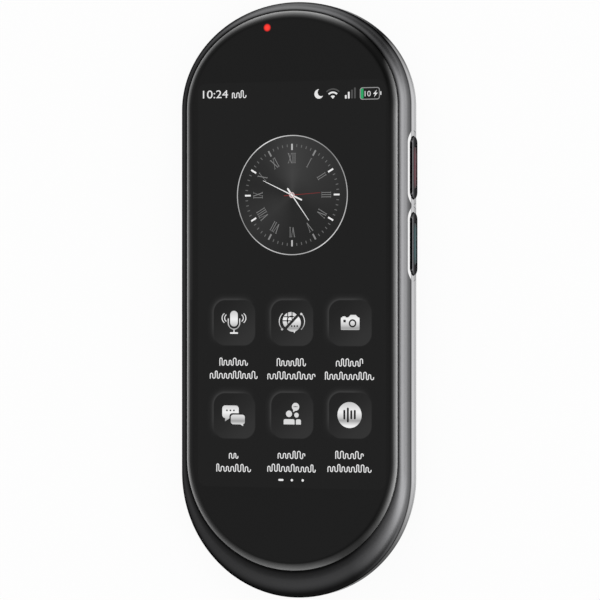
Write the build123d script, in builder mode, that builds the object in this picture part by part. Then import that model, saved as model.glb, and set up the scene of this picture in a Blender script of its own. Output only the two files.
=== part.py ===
"""Handheld translator: a pocket device with a pill-shaped body, a glass front and two talk keys.

The device lies on its back. +Z points out of the screen, +Y to its top end and +X to the side
with the two talk keys. The origin is the centre of the flat back. All sizes are in millimetres.
"""

import os
from collections import namedtuple
from math import cos, radians, sin, sqrt

from build123d import *

# ---------------------------------------------------------------- driving dimensions
# An outline is two straight sides closed by an elliptical arc at each end.
Outline = namedtuple("Outline", "half_width top bottom top_arc bottom_arc")
BODY = Outline(half_width=27.4, top=66.0, bottom=-66.0, top_arc=23.5, bottom_arc=26.9)
GLASS = Outline(half_width=25.2, top=64.1, bottom=-60.1, top_arc=21.5, bottom_arc=24.8)

THICKNESS = 11.5
GLASS_THICKNESS = 1.2
GLASS_EDGE_WIDTH = 2.2  # the front curves down to its edge over this width
GLASS_EDGE_DROP = 0.6
GLASS_GAP = 0.12  # round the glass, in the rim
RIM_TOP = 10.75
RIM_LIP = 0.18  # flat land between the rim's curve and the gap
SHELF_WIDTH = 1.3  # the ledge that the glass is taped to
SEAL_THICKNESS = 0.2
BAND_TOP = 8.3
BAND_BOTTOM = 4.6
BAND_WALL = 1.4
BAND_CHAMFER = 0.4
COVER_TOP = 4.5
COVER_INSET = 0.4  # the cover starts this far inside the band
COVER_WALL = 1.1
COVER_FLOOR = 1.2
BACK_INSET = 9.4  # from the body's outline to the edge of the flat back
LIP_HEIGHT = 1.1

PLATE_TOP = 8.0
PLATE_BOTTOM = 7.2
BOARD_TOP = 5.0
BOARD_BOTTOM = 4.2
BOARD_INSET = 5.0

# Display module, with the active area 44.2 wide under the glass.
DISPLAY_CENTRE_Y = 1.8
TRAY_SIZE = (45.4, 93.6)
PANEL_SIZE = (45.0, 93.2)
DISPLAY_CORNER = 3.0
TRAY_THICKNESS = 0.3
PANEL_TOP = 10.05

# Talk keys on the +X side and the milled pockets that they stand in.
KEY_Z = 6.45
KEY_HEIGHT = 2.6
KEY_LENGTH = 13.6
KEY_REACH = 28.0  # how far from the middle the outer face stands
KEY_CROWN = ((0.5, 0.0), (0.2, 0.18), (0.0, 0.5))  # (below the outer face, inset) down the rounded edge
KEY_CLEARANCE = 0.1
KEY_CENTRES = {"upper_key": 28.95, "lower_key": 12.25}
KEY_BAR_SIZE = (9.3, 0.9)
KEY_BAR_DEPTH = 0.5
POCKET_Z = 6.8
POCKET_HEIGHT = 5.4
POCKET_LENGTH = 16.45
POCKET_FACE = 27.05  # distance of the pocket's floor from the middle
POCKET_ROOT = 25.7

FLANGE_FACE = 25.9  # the flange lies just inside the band's wall
FLANGE_THICKNESS = 0.6
FLANGE_MARGIN = 0.8
FLANGE_HEIGHT = 3.0
SWITCH_FACE = 24.5
SWITCH_SIZE = (3.0, 1.8, 0.6)  # length, height, depth
FLEX_THICKNESS = 0.2
BRACKET_THICKNESS = 0.5
KEY_STROKE = 0.35
POST_SIZE = 1.4  # the square posts behind the keys

# The other side: power key, volume rocker and card tray.
POWER_CENTRE = 16.0
POWER_LENGTH = 9.0
ROCKER_CENTRE = -2.0
ROCKER_LENGTH = 18.0
ROCKER_FLANGE_FACE = 25.6
ROCKER_SWITCH_OFFSET = 6.0
ROCKER_SWITCH_GAP = 0.15
TRAY_CENTRE = 33.0
TRAY_LENGTH = 14.6
TRAY_HEIGHT = 2.0
TRAY_PLATE_Z = (6.2, 6.9)
TRAY_REACH = 16.0

# Inside the case.
CAMERA_POSITION = (0.0, 44.0)
CAMERA_RING_RADIUS = 5.2
CAMERA_GLASS_RADIUS = 4.3
FLASH_POSITION = (10.0, 44.0)
FLASH_RADIUS = 1.8
MOTOR_POSITION = (13.0, 52.0)
MOTOR_RADIUS = 4.0
LED_POSITION = (-5.7, 60.3)
LED_RADIUS = 0.75
BATTERY_SIZE = (38.0, 45.0, 5.0)
BATTERY_CENTRE_Y = -14.5
BATTERY_Z = 1.7
SPEAKER_CENTRE_Y = -42.5
SPEAKER_SIZE = (20.0, 8.6, 3.9)
USB_Z = 6.6
USB_SHELL = (8.94, 3.2)
USB_MOUTH = (8.34, 2.56)
USB_DEPTH = 7.3
USB_FRONT_Y = -64.1
MAIN_SCREWS = [(-18.0, 13.0), (20.0, 13.0), (-14.0, 53.0), (18.0, 40.0)]
SUB_SCREWS = [(-9.0, -52.0), (9.0, -52.0)]
SCREW_RADIUS = 0.7
BOSS_RADIUS = 1.7
MIC_POSITIONS = {"bottom": [-13.0, 13.0], "top": [0.0]}
MIC_HOLE_RADIUS = 0.45

os.makedirs("parts", exist_ok=True)


# ---------------------------------------------------------------- outlines and helpers
def shrink(outline, inset):
    """The same outline moved inwards; a negative inset moves it outwards."""
    return Outline(
        outline.half_width - inset,
        outline.top - inset,
        outline.bottom + inset,
        outline.top_arc - inset,
        outline.bottom_arc - inset,
    )


def between(outer, inner, share):
    """An outline part of the way from outer (share 0) to inner (share 1)."""
    return Outline(*[a + (b - a) * share for a, b in zip(outer, inner)])


def pill(outline):
    """The face inside an outline."""
    right = outline.half_width
    high = outline.top - outline.top_arc
    low = outline.bottom + outline.bottom_arc
    with BuildSketch(mode=Mode.PRIVATE) as face:
        with BuildLine():
            Line((right, low), (right, high))
            EllipticalCenterArc((0, high), right, outline.top_arc, start_angle=0, arc_size=180)
            Line((-right, high), (-right, low))
            EllipticalCenterArc((0, low), right, outline.bottom_arc, start_angle=180, arc_size=180)
        make_face()
    return face.sketch


def arc_y(outline, x, end):
    """Where an outline's end arc ("top" or "bottom") stands at a given x."""
    drop = sqrt(1 - (x / outline.half_width) ** 2)
    if end == "top":
        return outline.top - outline.top_arc * (1 - drop)
    return outline.bottom + outline.bottom_arc * (1 - drop)


def save(part, name):
    """Labels a finished piece and writes its file."""
    part.label = name
    export_step(part, f"parts/{name}.step")


def back_inset(z, start=COVER_INSET, height=COVER_TOP, reach=BACK_INSET):
    """How far the rounded back lies inside the body's outline at height z: a quarter ellipse."""
    rise = (height - z) / height
    return start + (reach - start) * (1 - sqrt(max(0.0, 1 - rise * rise)))


# ---------------------------------------------------------------- front glass and its seal
# The front is flat in the middle and falls away towards its edge in a soft curve.
GLASS_EDGE_STEPS = 4

with BuildPart() as cover_glass:
    with BuildSketch(Plane.XY.offset(THICKNESS - GLASS_THICKNESS)):
        add(pill(GLASS))
    for step in range(GLASS_EDGE_STEPS + 1):
        share = step / GLASS_EDGE_STEPS
        with BuildSketch(Plane.XY.offset(THICKNESS - GLASS_EDGE_DROP * (1 - share) ** 2)):
            add(pill(shrink(GLASS, GLASS_EDGE_WIDTH * share)))
    loft(ruled=True)
save(cover_glass.part, "cover_glass")

GLASS_UNDERSIDE = THICKNESS - GLASS_THICKNESS
SHELF_Z = GLASS_UNDERSIDE - SEAL_THICKNESS

with BuildPart() as glass_seal:
    with BuildSketch(Plane.XY.offset(SHELF_Z)):
        add(pill(shrink(GLASS, 0.2)))
        add(pill(shrink(GLASS, SHELF_WIDTH - 0.1)), mode=Mode.SUBTRACT)
    extrude(amount=SEAL_THICKNESS)
save(glass_seal.part, "glass_seal")

# ---------------------------------------------------------------- front rim
# Its outer surface runs in one convex curve from the upright band to the edge of the glass.
RIM_INNER = shrink(GLASS, -(GLASS_GAP + RIM_LIP))
RIM_CURVE_DEGREES = (0, 16, 32, 48, 64, 78)

with BuildPart() as front_rim:
    for degrees in RIM_CURVE_DEGREES:
        turn, end = radians(degrees), radians(RIM_CURVE_DEGREES[-1])
        height = BAND_TOP + (RIM_TOP - BAND_TOP) * sin(turn) / sin(end)
        share = (1 - cos(turn)) / (1 - cos(end))
        with BuildSketch(Plane.XY.offset(height)):
            add(pill(between(BODY, RIM_INNER, share)))
    loft(ruled=True)
    with BuildSketch(Plane.XY.offset(SHELF_Z)):
        add(pill(shrink(GLASS, -GLASS_GAP)))
    extrude(amount=RIM_TOP, mode=Mode.SUBTRACT)
    with BuildSketch(Plane.XY.offset(BAND_TOP)):
        add(pill(shrink(GLASS, SHELF_WIDTH)))
    extrude(amount=RIM_TOP, mode=Mode.SUBTRACT)
    with BuildSketch(Plane.YZ.offset(POCKET_ROOT)):
        with Locations([(y, POCKET_Z) for y in KEY_CENTRES.values()]):
            SlotOverall(POCKET_LENGTH, POCKET_HEIGHT)
    extrude(amount=KEY_REACH - POCKET_ROOT, mode=Mode.SUBTRACT)
save(front_rim.part, "front_rim")

# ---------------------------------------------------------------- polished side band
# An upright ring. Round each talk key it climbs into the rim as a shallow milled pocket.
BAND_INNER = shrink(BODY, BAND_WALL)

with BuildPart() as side_band:
    with BuildSketch(Plane.XY.offset(BAND_BOTTOM)):
        add(pill(BODY))
    extrude(amount=BAND_TOP - BAND_BOTTOM)
    chamfer(side_band.edges().group_by(Axis.Z)[0], length=BAND_CHAMFER)
    with BuildSketch(Plane.XY.offset(BAND_BOTTOM)):
        add(pill(BAND_INNER))
    extrude(amount=BAND_TOP - BAND_BOTTOM, mode=Mode.SUBTRACT)
    # Pocket floors, standing up into the rim.
    with BuildSketch(Plane.YZ.offset(POCKET_ROOT)):
        with Locations([(y, POCKET_Z) for y in KEY_CENTRES.values()]):
            SlotOverall(POCKET_LENGTH, POCKET_HEIGHT)
        with Locations((0, BAND_TOP)):
            Rectangle(BODY.top, THICKNESS, align=(Align.MIN, Align.MAX), mode=Mode.SUBTRACT)
    extrude(amount=POCKET_FACE - POCKET_ROOT)
    # Pocket recess, cut from outside.
    with BuildSketch(Plane.YZ.offset(POCKET_FACE)):
        with Locations([(y, POCKET_Z) for y in KEY_CENTRES.values()]):
            SlotOverall(POCKET_LENGTH, POCKET_HEIGHT)
    extrude(amount=KEY_REACH - POCKET_FACE, mode=Mode.SUBTRACT)
    # Slots for the talk keys.
    with BuildSketch(Plane.YZ.offset(SWITCH_FACE)):
        with Locations([(y, KEY_Z) for y in KEY_CENTRES.values()]):
            SlotOverall(KEY_LENGTH + 2 * KEY_CLEARANCE, KEY_HEIGHT + 2 * KEY_CLEARANCE)
    extrude(amount=KEY_REACH - SWITCH_FACE, mode=Mode.SUBTRACT)
    # Slots for the power key, the volume rocker and the card tray.
    with BuildSketch(Plane.YZ.offset(-SWITCH_FACE)):
        with Locations((POWER_CENTRE, KEY_Z)):
            SlotOverall(POWER_LENGTH + 2 * KEY_CLEARANCE, KEY_HEIGHT + 2 * KEY_CLEARANCE)
        with Locations((ROCKER_CENTRE, KEY_Z)):
            SlotOverall(ROCKER_LENGTH + 3 * KEY_CLEARANCE, KEY_HEIGHT + 2 * KEY_CLEARANCE)
        with Locations((TRAY_CENTRE, KEY_Z)):
            SlotOverall(TRAY_LENGTH + 2 * KEY_CLEARANCE, TRAY_HEIGHT + 2 * KEY_CLEARANCE)
    extrude(amount=-(KEY_REACH - SWITCH_FACE), mode=Mode.SUBTRACT)
    # Charging socket mouth and microphone holes in the two ends.
    with BuildSketch(Plane.XZ.offset(-USB_FRONT_Y - 1)):
        with Locations((0, USB_Z)):
            SlotOverall(USB_SHELL[0] - 0.3, USB_SHELL[1] - 0.3)
        with Locations([(x, KEY_Z) for x in MIC_POSITIONS["bottom"]]):
            Circle(MIC_HOLE_RADIUS)
    extrude(amount=10, both=True, mode=Mode.SUBTRACT)
    with BuildSketch(Plane.XZ.offset(-BODY.top)):
        with Locations([(x, KEY_Z) for x in MIC_POSITIONS["top"]]):
            Circle(MIC_HOLE_RADIUS)
    extrude(amount=4, both=True, mode=Mode.SUBTRACT)
save(side_band.part, "side_band")

# ---------------------------------------------------------------- chassis plate
KEY_BAY_WIDTH = 3.3  # the plate and the cover's lip stay clear of the keys by this much
KEY_BAYS = {  # side sign, low y, high y
    "talk": (1, 3.0, 38.0),
    "rocker": (-1, -13.0, 8.5),
    "power": (-1, 9.0, 23.0),
}
LIP_BAY = (-14.0, 42.0)
DISPLAY_FLEX_X = 2.0
DISPLAY_FLEX_WIDTH = 10.0
DISPLAY_FLEX_SLOT_Y = 18.0

with BuildPart() as mid_plate:
    with BuildSketch(Plane.XY.offset(PLATE_BOTTOM)):
        add(pill(shrink(BAND_INNER, 0.05)))
        for side, low, high in KEY_BAYS.values():
            with Locations((side * BAND_INNER.half_width, (low + high) / 2)):
                Rectangle(2 * KEY_BAY_WIDTH, high - low, mode=Mode.SUBTRACT)
        with Locations((0, BODY.bottom)):
            Rectangle(USB_SHELL[0] + 1.2, 2 * (USB_DEPTH + 2.4), mode=Mode.SUBTRACT)
        with Locations((DISPLAY_FLEX_X, DISPLAY_FLEX_SLOT_Y)):
            SlotOverall(DISPLAY_FLEX_WIDTH + 2, 3.6, mode=Mode.SUBTRACT)
        with Locations(LED_POSITION):
            Circle(LED_RADIUS + 0.1, mode=Mode.SUBTRACT)
    extrude(amount=PLATE_TOP - PLATE_BOTTOM)
    # Screw bosses down to the two boards, each with a blind bore.
    with BuildSketch(Plane.XY.offset(BOARD_TOP)):
        with Locations(MAIN_SCREWS + SUB_SCREWS):
            Circle(BOSS_RADIUS)
    extrude(amount=PLATE_BOTTOM - BOARD_TOP)
    with BuildSketch(Plane.XY.offset(BOARD_TOP)):
        with Locations(MAIN_SCREWS + SUB_SCREWS):
            Circle(SCREW_RADIUS + 0.02)
    extrude(amount=PLATE_BOTTOM - BOARD_TOP, mode=Mode.SUBTRACT)
    # Low walls that hold the battery.
    with BuildSketch(Plane.XY.offset(PLATE_BOTTOM)):
        with Locations((0, BATTERY_CENTRE_Y)):
            Rectangle(BATTERY_SIZE[0] + 2.4, BATTERY_SIZE[1] + 2.4)
            Rectangle(BATTERY_SIZE[0] + 0.8, BATTERY_SIZE[1] + 0.8, mode=Mode.SUBTRACT)
    extrude(amount=-1.0)
    # Shallow lightening pockets above the boards.
    with BuildSketch(Plane.XY.offset(PLATE_TOP)):
        with Locations((0, 47.5)):
            with GridLocations(13.0, 0, 2, 1):
                RectangleRounded(9.0, 12.0, 2.0)
    extrude(amount=-0.3, mode=Mode.SUBTRACT)
save(mid_plate.part, "mid_plate")

# ---------------------------------------------------------------- rear cover
SEAM_TAPE = BAND_BOTTOM - COVER_TOP
OUTER_LEVELS = (COVER_TOP, 3.2, 2.0, 1.0, 0.3, 0.0)
INNER_LEVELS = (COVER_TOP, 2.2, COVER_FLOOR)
GRILLE_SLOTS = 6
GRILLE_PITCH = 2.4
GRILLE_SLOT = (5.0, 1.1)

with BuildPart() as rear_cover:
    for level in OUTER_LEVELS:
        with BuildSketch(Plane.XY.offset(level)):
            add(pill(shrink(BODY, back_inset(level))))
    loft(ruled=True)
    for level in INNER_LEVELS:
        inset = COVER_WALL + back_inset(level - COVER_FLOOR, height=COVER_TOP - COVER_FLOOR)
        with BuildSketch(Plane.XY.offset(level)):
            add(pill(shrink(BODY, inset)))
    loft(ruled=True, mode=Mode.SUBTRACT)
    # A lip stands up inside the band, except beside the keys, the card tray and the socket.
    with BuildSketch(Plane.XY.offset(COVER_TOP - 0.6)):
        add(pill(shrink(BODY, BAND_WALL + 0.1)))
        add(pill(shrink(BODY, BAND_WALL + 0.9)), mode=Mode.SUBTRACT)
        with Locations((0, sum(LIP_BAY) / 2)):
            Rectangle(2 * BODY.half_width, LIP_BAY[1] - LIP_BAY[0], mode=Mode.SUBTRACT)
        with Locations((0, BODY.bottom)):
            Rectangle(USB_SHELL[0] + 1.2, 12, mode=Mode.SUBTRACT)
        for end, places in MIC_POSITIONS.items():
            with Locations([(x, arc_y(BAND_INNER, x, end)) for x in places]):
                Rectangle(3, 5, mode=Mode.SUBTRACT)
    extrude(amount=0.6 + LIP_HEIGHT)
    # Camera and flash openings, with a step that the trim ring sits on.
    with BuildSketch(Plane.XY):
        with Locations(CAMERA_POSITION):
            Circle(CAMERA_RING_RADIUS)
    extrude(amount=COVER_FLOOR, mode=Mode.SUBTRACT)
    with BuildSketch(Plane.XY):
        with Locations(FLASH_POSITION):
            Circle(FLASH_RADIUS)
    extrude(amount=COVER_FLOOR, mode=Mode.SUBTRACT)
    # Loudspeaker slots.
    with BuildSketch(Plane.XY):
        with Locations((0, SPEAKER_CENTRE_Y)):
            with GridLocations(GRILLE_PITCH, 0, GRILLE_SLOTS, 1):
                SlotOverall(*GRILLE_SLOT, rotation=90)
    extrude(amount=COVER_FLOOR, mode=Mode.SUBTRACT)
save(rear_cover.part, "rear_cover")

with BuildPart() as cover_tape:
    with BuildSketch(Plane.XY.offset(COVER_TOP)):
        add(pill(shrink(BODY, COVER_INSET + 0.15)))
        add(pill(shrink(BODY, BAND_WALL)), mode=Mode.SUBTRACT)
    extrude(amount=SEAM_TAPE)
save(cover_tape.part, "cover_tape")

# ---------------------------------------------------------------- rear camera window and flash
with BuildPart() as camera_trim_ring:
    with BuildSketch(Plane.XY):
        with Locations(CAMERA_POSITION):
            Circle(CAMERA_RING_RADIUS)
            Circle(CAMERA_GLASS_RADIUS, mode=Mode.SUBTRACT)
    extrude(amount=COVER_FLOOR)
    with BuildSketch(Plane.XY.offset(COVER_FLOOR)):
        with Locations(CAMERA_POSITION):
            Circle(CAMERA_RING_RADIUS)
            Circle(CAMERA_GLASS_RADIUS - 0.6, mode=Mode.SUBTRACT)
    extrude(amount=-0.3)
    chamfer(camera_trim_ring.edges().group_by(Axis.Z)[0].sort_by(Edge.length)[0], length=0.15)
save(camera_trim_ring.part, "camera_trim_ring")

with BuildPart() as camera_window:
    with BuildSketch(Plane.XY.offset(0.2)):
        with Locations(CAMERA_POSITION):
            Circle(CAMERA_GLASS_RADIUS)
    extrude(amount=COVER_FLOOR - 0.5)
save(camera_window.part, "camera_window")

with BuildPart() as flash_lens:
    with BuildSketch(Plane.XY):
        with Locations(FLASH_POSITION):
            Circle(FLASH_RADIUS)
    extrude(amount=COVER_FLOOR)
save(flash_lens.part, "flash_lens")

# ---------------------------------------------------------------- keys
BAR_FACE = KEY_REACH - 0.05


def key_on(centre, length, side, flange_face):
    """A side key: a crowned cap through the band with a wider flange behind it."""
    with BuildPart() as key:
        with BuildSketch(Plane.YZ.offset(side * flange_face)):
            with Locations((centre, KEY_Z)):
                SlotOverall(length, KEY_HEIGHT)
        for below, inset in KEY_CROWN:
            with BuildSketch(Plane.YZ.offset(side * (KEY_REACH - below))):
                with Locations((centre, KEY_Z)):
                    SlotOverall(length - 2 * inset, KEY_HEIGHT - 2 * inset)
        loft(ruled=True)
        with BuildSketch(Plane.YZ.offset(side * flange_face)):
            with Locations((centre, KEY_Z)):
                SlotOverall(length + 2 * FLANGE_MARGIN, FLANGE_HEIGHT)
        extrude(amount=-side * FLANGE_THICKNESS)
    return key.part


def plungers(centres, side, flange_face, tip):
    """Short posts behind a key's flange that press on its switches."""
    root = flange_face - FLANGE_THICKNESS
    with BuildPart() as made:
        with BuildSketch(Plane.YZ.offset(side * root)):
            with Locations([(y, KEY_Z) for y in centres]):
                Rectangle(POST_SIZE, POST_SIZE)
        extrude(amount=-side * (root - tip))
    return made.part


for name, centre in KEY_CENTRES.items():
    with BuildPart() as talk_key:
        add(key_on(centre, KEY_LENGTH, 1, FLANGE_FACE))
        add(plungers([centre], 1, FLANGE_FACE, SWITCH_FACE + KEY_STROKE + 0.05))
        with BuildSketch(Plane.YZ.offset(KEY_REACH)):
            with Locations((centre, KEY_Z)):
                SlotOverall(*KEY_BAR_SIZE)
        extrude(amount=-KEY_BAR_DEPTH, mode=Mode.SUBTRACT)
    save(talk_key.part, name)
    with BuildPart() as key_bar:
        with BuildSketch(Plane.YZ.offset(BAR_FACE)):
            with Locations((centre, KEY_Z)):
                SlotOverall(*KEY_BAR_SIZE)
        extrude(amount=-(BAR_FACE - KEY_REACH + KEY_BAR_DEPTH))
    save(key_bar.part, f"{name}_bar")

with BuildPart() as power_key:
    add(key_on(POWER_CENTRE, POWER_LENGTH, -1, FLANGE_FACE))
    add(plungers([POWER_CENTRE], -1, FLANGE_FACE, SWITCH_FACE + KEY_STROKE + 0.05))
save(power_key.part, "power_key")

ROCKER_SWITCHES = [ROCKER_CENTRE - ROCKER_SWITCH_OFFSET, ROCKER_CENTRE + ROCKER_SWITCH_OFFSET]
PIVOT_RADIUS = 0.5
PIVOT_X = -(SWITCH_FACE - SWITCH_SIZE[2] + 0.03 + PIVOT_RADIUS)

with BuildPart() as volume_rocker:
    add(key_on(ROCKER_CENTRE, ROCKER_LENGTH, -1, ROCKER_FLANGE_FACE))
    add(plungers(ROCKER_SWITCHES, -1, ROCKER_FLANGE_FACE, SWITCH_FACE + ROCKER_SWITCH_GAP))
    # The middle post is the pivot: its round nose rolls on the flexible board between the switches.
    add(plungers([ROCKER_CENTRE], -1, ROCKER_FLANGE_FACE, -PIVOT_X))
    with BuildSketch(Plane.XY.offset(KEY_Z - POST_SIZE / 2)):
        with Locations((PIVOT_X, ROCKER_CENTRE)):
            Circle(PIVOT_RADIUS)
    extrude(amount=POST_SIZE)
save(volume_rocker.part, "volume_rocker")


def key_board(name, side, low, high, switch_centres):
    """The steel bracket, the flexible board on it and the dome switches behind a row of keys."""
    length, depth, height = SWITCH_SIZE
    middle = (low + high) / 2
    with BuildPart() as switches:
        with BuildSketch(Plane.YZ.offset(side * SWITCH_FACE)):
            with Locations([(y, KEY_Z - 0.2) for y in switch_centres]):
                Rectangle(length, depth)
        extrude(amount=-side * height)
    save(switches.part, f"{name}_switches")
    flex_face = SWITCH_FACE - height
    with BuildPart() as flex:
        with BuildSketch(Plane.YZ.offset(side * flex_face)):
            with Locations((middle, PLATE_BOTTOM - 0.1)):
                Rectangle(high - low - 1, 1.9, align=(Align.CENTER, Align.MAX))
        extrude(amount=-side * FLEX_THICKNESS)
    save(flex.part, f"{name}_flex")
    bracket_face = flex_face - FLEX_THICKNESS
    with BuildPart() as bracket:
        with BuildSketch(Plane.YZ.offset(side * bracket_face)):
            with Locations((middle, PLATE_BOTTOM)):
                Rectangle(high - low, 2.1, align=(Align.CENTER, Align.MAX))
        extrude(amount=-side * BRACKET_THICKNESS)
    save(bracket.part, f"{name}_bracket")


key_board("right_key", 1, 4.0, 37.0, list(KEY_CENTRES.values()))
key_board("left_key", -1, -12.5, 22.5, ROCKER_SWITCHES + [POWER_CENTRE])

# ---------------------------------------------------------------- card tray and its socket
TRAY_PLATE_WIDTH = 12.6
CARD_SIZE = (12.3, 8.8)
TRAY_FRONT_THICKNESS = 1.3
SOCKET_WALL = 0.25
SOCKET_REACH = (8.6, 24.4)

with BuildPart() as sim_tray:
    with BuildSketch(Plane.YZ.offset(-BODY.half_width + 0.02)):
        with Locations((TRAY_CENTRE, KEY_Z)):
            SlotOverall(TRAY_LENGTH, TRAY_HEIGHT)
    extrude(amount=TRAY_FRONT_THICKNESS)
    with BuildSketch(Plane.XY.offset(TRAY_PLATE_Z[0])):
        with Locations((-BODY.half_width + 1.0, TRAY_CENTRE)):
            Rectangle(TRAY_REACH - 1.0, TRAY_PLATE_WIDTH, align=(Align.MIN, Align.CENTER))
    extrude(amount=TRAY_PLATE_Z[1] - TRAY_PLATE_Z[0])
    with BuildSketch(Plane.XY.offset(TRAY_PLATE_Z[0])):
        with Locations((-BODY.half_width + 8.6, TRAY_CENTRE)):
            RectangleRounded(CARD_SIZE[1], CARD_SIZE[0] - 2.2, 0.8)
    extrude(amount=TRAY_PLATE_Z[1] - TRAY_PLATE_Z[0], mode=Mode.SUBTRACT)
save(sim_tray.part, "sim_tray")

with BuildPart() as sim_socket:
    with BuildSketch(Plane.YZ.offset(-SOCKET_REACH[1])):
        with Locations((TRAY_CENTRE, BOARD_TOP)):
            Rectangle(TRAY_PLATE_WIDTH + 1.2, PLATE_BOTTOM - 0.02 - BOARD_TOP, align=(Align.CENTER, Align.MIN))
        with Locations((TRAY_CENTRE, TRAY_PLATE_Z[0] - 0.08)):
            Rectangle(TRAY_PLATE_WIDTH + 0.3, TRAY_PLATE_Z[1] - TRAY_PLATE_Z[0] + 0.16,
                      align=(Align.CENTER, Align.MIN), mode=Mode.SUBTRACT)
    extrude(amount=SOCKET_REACH[1] - SOCKET_REACH[0])
save(sim_socket.part, "sim_socket")

# ---------------------------------------------------------------- display module
with BuildPart() as display_tray:
    with BuildSketch(Plane.XY.offset(BAND_TOP)):
        with Locations((0, DISPLAY_CENTRE_Y)):
            RectangleRounded(*TRAY_SIZE, DISPLAY_CORNER)
    extrude(amount=TRAY_THICKNESS)
save(display_tray.part, "display_tray")

with BuildPart() as display_panel:
    with BuildSketch(Plane.XY.offset(BAND_TOP + TRAY_THICKNESS)):
        with Locations((0, DISPLAY_CENTRE_Y)):
            RectangleRounded(*PANEL_SIZE, DISPLAY_CORNER)
    extrude(amount=PANEL_TOP - BAND_TOP - TRAY_THICKNESS)
save(display_panel.part, "display_panel")

with BuildPart() as display_pads:
    with BuildSketch(Plane.XY.offset(PLATE_TOP)):
        with Locations((0, DISPLAY_CENTRE_Y)):
            with GridLocations(38.0, 0, 2, 1):
                Rectangle(3.0, 80.0)
    extrude(amount=BAND_TOP - PLATE_TOP)
save(display_pads.part, "display_pads")


def ribbon(path, width, middle_x, thickness, radius):
    """A flexible flat cable along a path of (y, z) points, its bends rounded."""
    with BuildPart() as made:
        with BuildSketch(Plane.YZ.offset(middle_x - width / 2)):
            with BuildLine():
                FilletPolyline(*path, radius=radius)
            trace(line_width=thickness)
        extrude(amount=width)
    return made.part


DISPLAY_FLEX_Z = (PLATE_TOP + BAND_TOP) / 2
display_flex = ribbon(
    [
        (-38.0, DISPLAY_FLEX_Z),
        (DISPLAY_FLEX_SLOT_Y, DISPLAY_FLEX_Z),
        (DISPLAY_FLEX_SLOT_Y, BOARD_TOP + 0.1),
        (DISPLAY_FLEX_SLOT_Y + 5, BOARD_TOP + 0.1),
    ],
    DISPLAY_FLEX_WIDTH, DISPLAY_FLEX_X, FLEX_THICKNESS, 0.8,
)
save(display_flex, "display_flex")

with BuildPart() as status_light_guide:
    with BuildSketch(Plane.XY.offset(BOARD_TOP + 0.6)):
        with Locations(LED_POSITION):
            Circle(LED_RADIUS)
    extrude(amount=GLASS_UNDERSIDE - BOARD_TOP - 0.6)
    with BuildSketch(Plane.XY.offset(PLATE_TOP)):
        with Locations(LED_POSITION):
            Circle(LED_RADIUS + 0.5)
    extrude(amount=0.5)
save(status_light_guide.part, "status_light_guide")

with BuildPart() as status_led:
    with BuildSketch(Plane.XY.offset(BOARD_TOP)):
        with Locations(LED_POSITION):
            Rectangle(1.6, 0.8)
    extrude(amount=0.6)
save(status_led.part, "status_led")

# ---------------------------------------------------------------- main board
BOARD_OUTLINE = shrink(BODY, BOARD_INSET)
MAIN_BOARD_START = 10.0
CAMERA_MODULE = (8.6, 8.6)

with BuildPart() as main_board:
    with BuildSketch(Plane.XY.offset(BOARD_BOTTOM)):
        add(pill(BOARD_OUTLINE))
        with Locations((0, MAIN_BOARD_START)):
            Rectangle(60, 140, align=(Align.CENTER, Align.MAX), mode=Mode.SUBTRACT)
        with Locations(CAMERA_POSITION):
            RectangleRounded(CAMERA_MODULE[0] + 0.8, CAMERA_MODULE[1] + 0.8, 0.8, mode=Mode.SUBTRACT)
        with Locations(MOTOR_POSITION):
            Circle(MOTOR_RADIUS + 0.4, mode=Mode.SUBTRACT)
        with Locations(MAIN_SCREWS):
            Circle(SCREW_RADIUS + 0.1, mode=Mode.SUBTRACT)
    extrude(amount=BOARD_TOP - BOARD_BOTTOM)
save(main_board.part, "main_board")


def shield_can(name, centre, size, height):
    """A thin pressed can soldered to the back of the main board."""
    with BuildPart() as can:
        with BuildSketch(Plane.XY.offset(BOARD_BOTTOM - height)):
            with Locations(centre):
                Rectangle(*size)
        extrude(amount=height)
        chamfer(can.edges().group_by(Axis.Z)[0], length=0.2)
        offset(amount=-0.2, openings=can.faces().sort_by(Axis.Z)[-1])
    save(can.part, name)


shield_can("processor_shield", (-8.0, 26.0), (22.0, 19.0), 1.8)
shield_can("radio_shield", (11.0, 25.0), (13.0, 17.0), 1.6)

with BuildPart() as chips:
    with BuildSketch(Plane.XY.offset(BOARD_BOTTOM)):
        with Locations((-12.0, 27.0)):
            Rectangle(11.0, 11.0)
        with Locations((-2.0, 29.0)):
            Rectangle(5.5, 9.0)
        with Locations((11.0, 25.0)):
            Rectangle(7.0, 7.0)
    extrude(amount=-1.0)
save(chips.part, "chips")

with BuildPart() as rear_camera:
    with BuildSketch(Plane.XY.offset(COVER_FLOOR + 0.9)):
        with Locations(CAMERA_POSITION):
            RectangleRounded(*CAMERA_MODULE, 0.6)
    extrude(amount=PLATE_BOTTOM - COVER_FLOOR - 0.9)
    with BuildSketch(Plane.XY.offset(COVER_FLOOR)):
        with Locations(CAMERA_POSITION):
            Circle(3.4)
    extrude(amount=0.9)
    with BuildSketch(Plane.XY.offset(COVER_FLOOR)):
        with Locations(CAMERA_POSITION):
            Circle(1.9)
    extrude(amount=0.5, mode=Mode.SUBTRACT)
save(rear_camera.part, "rear_camera")

with BuildPart() as flash_led:
    with BuildSketch(Plane.XY.offset(COVER_FLOOR)):
        with Locations(FLASH_POSITION):
            Rectangle(2.2, 2.2)
    extrude(amount=BOARD_BOTTOM - COVER_FLOOR)
save(flash_led.part, "flash_led")

with BuildPart() as vibration_motor:
    with BuildSketch(Plane.XY.offset(PLATE_BOTTOM - 2.7)):
        with Locations(MOTOR_POSITION):
            Circle(MOTOR_RADIUS)
    extrude(amount=2.7)
    chamfer(vibration_motor.edges().group_by(Axis.Z)[0], length=0.3)
save(vibration_motor.part, "vibration_motor")

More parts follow.
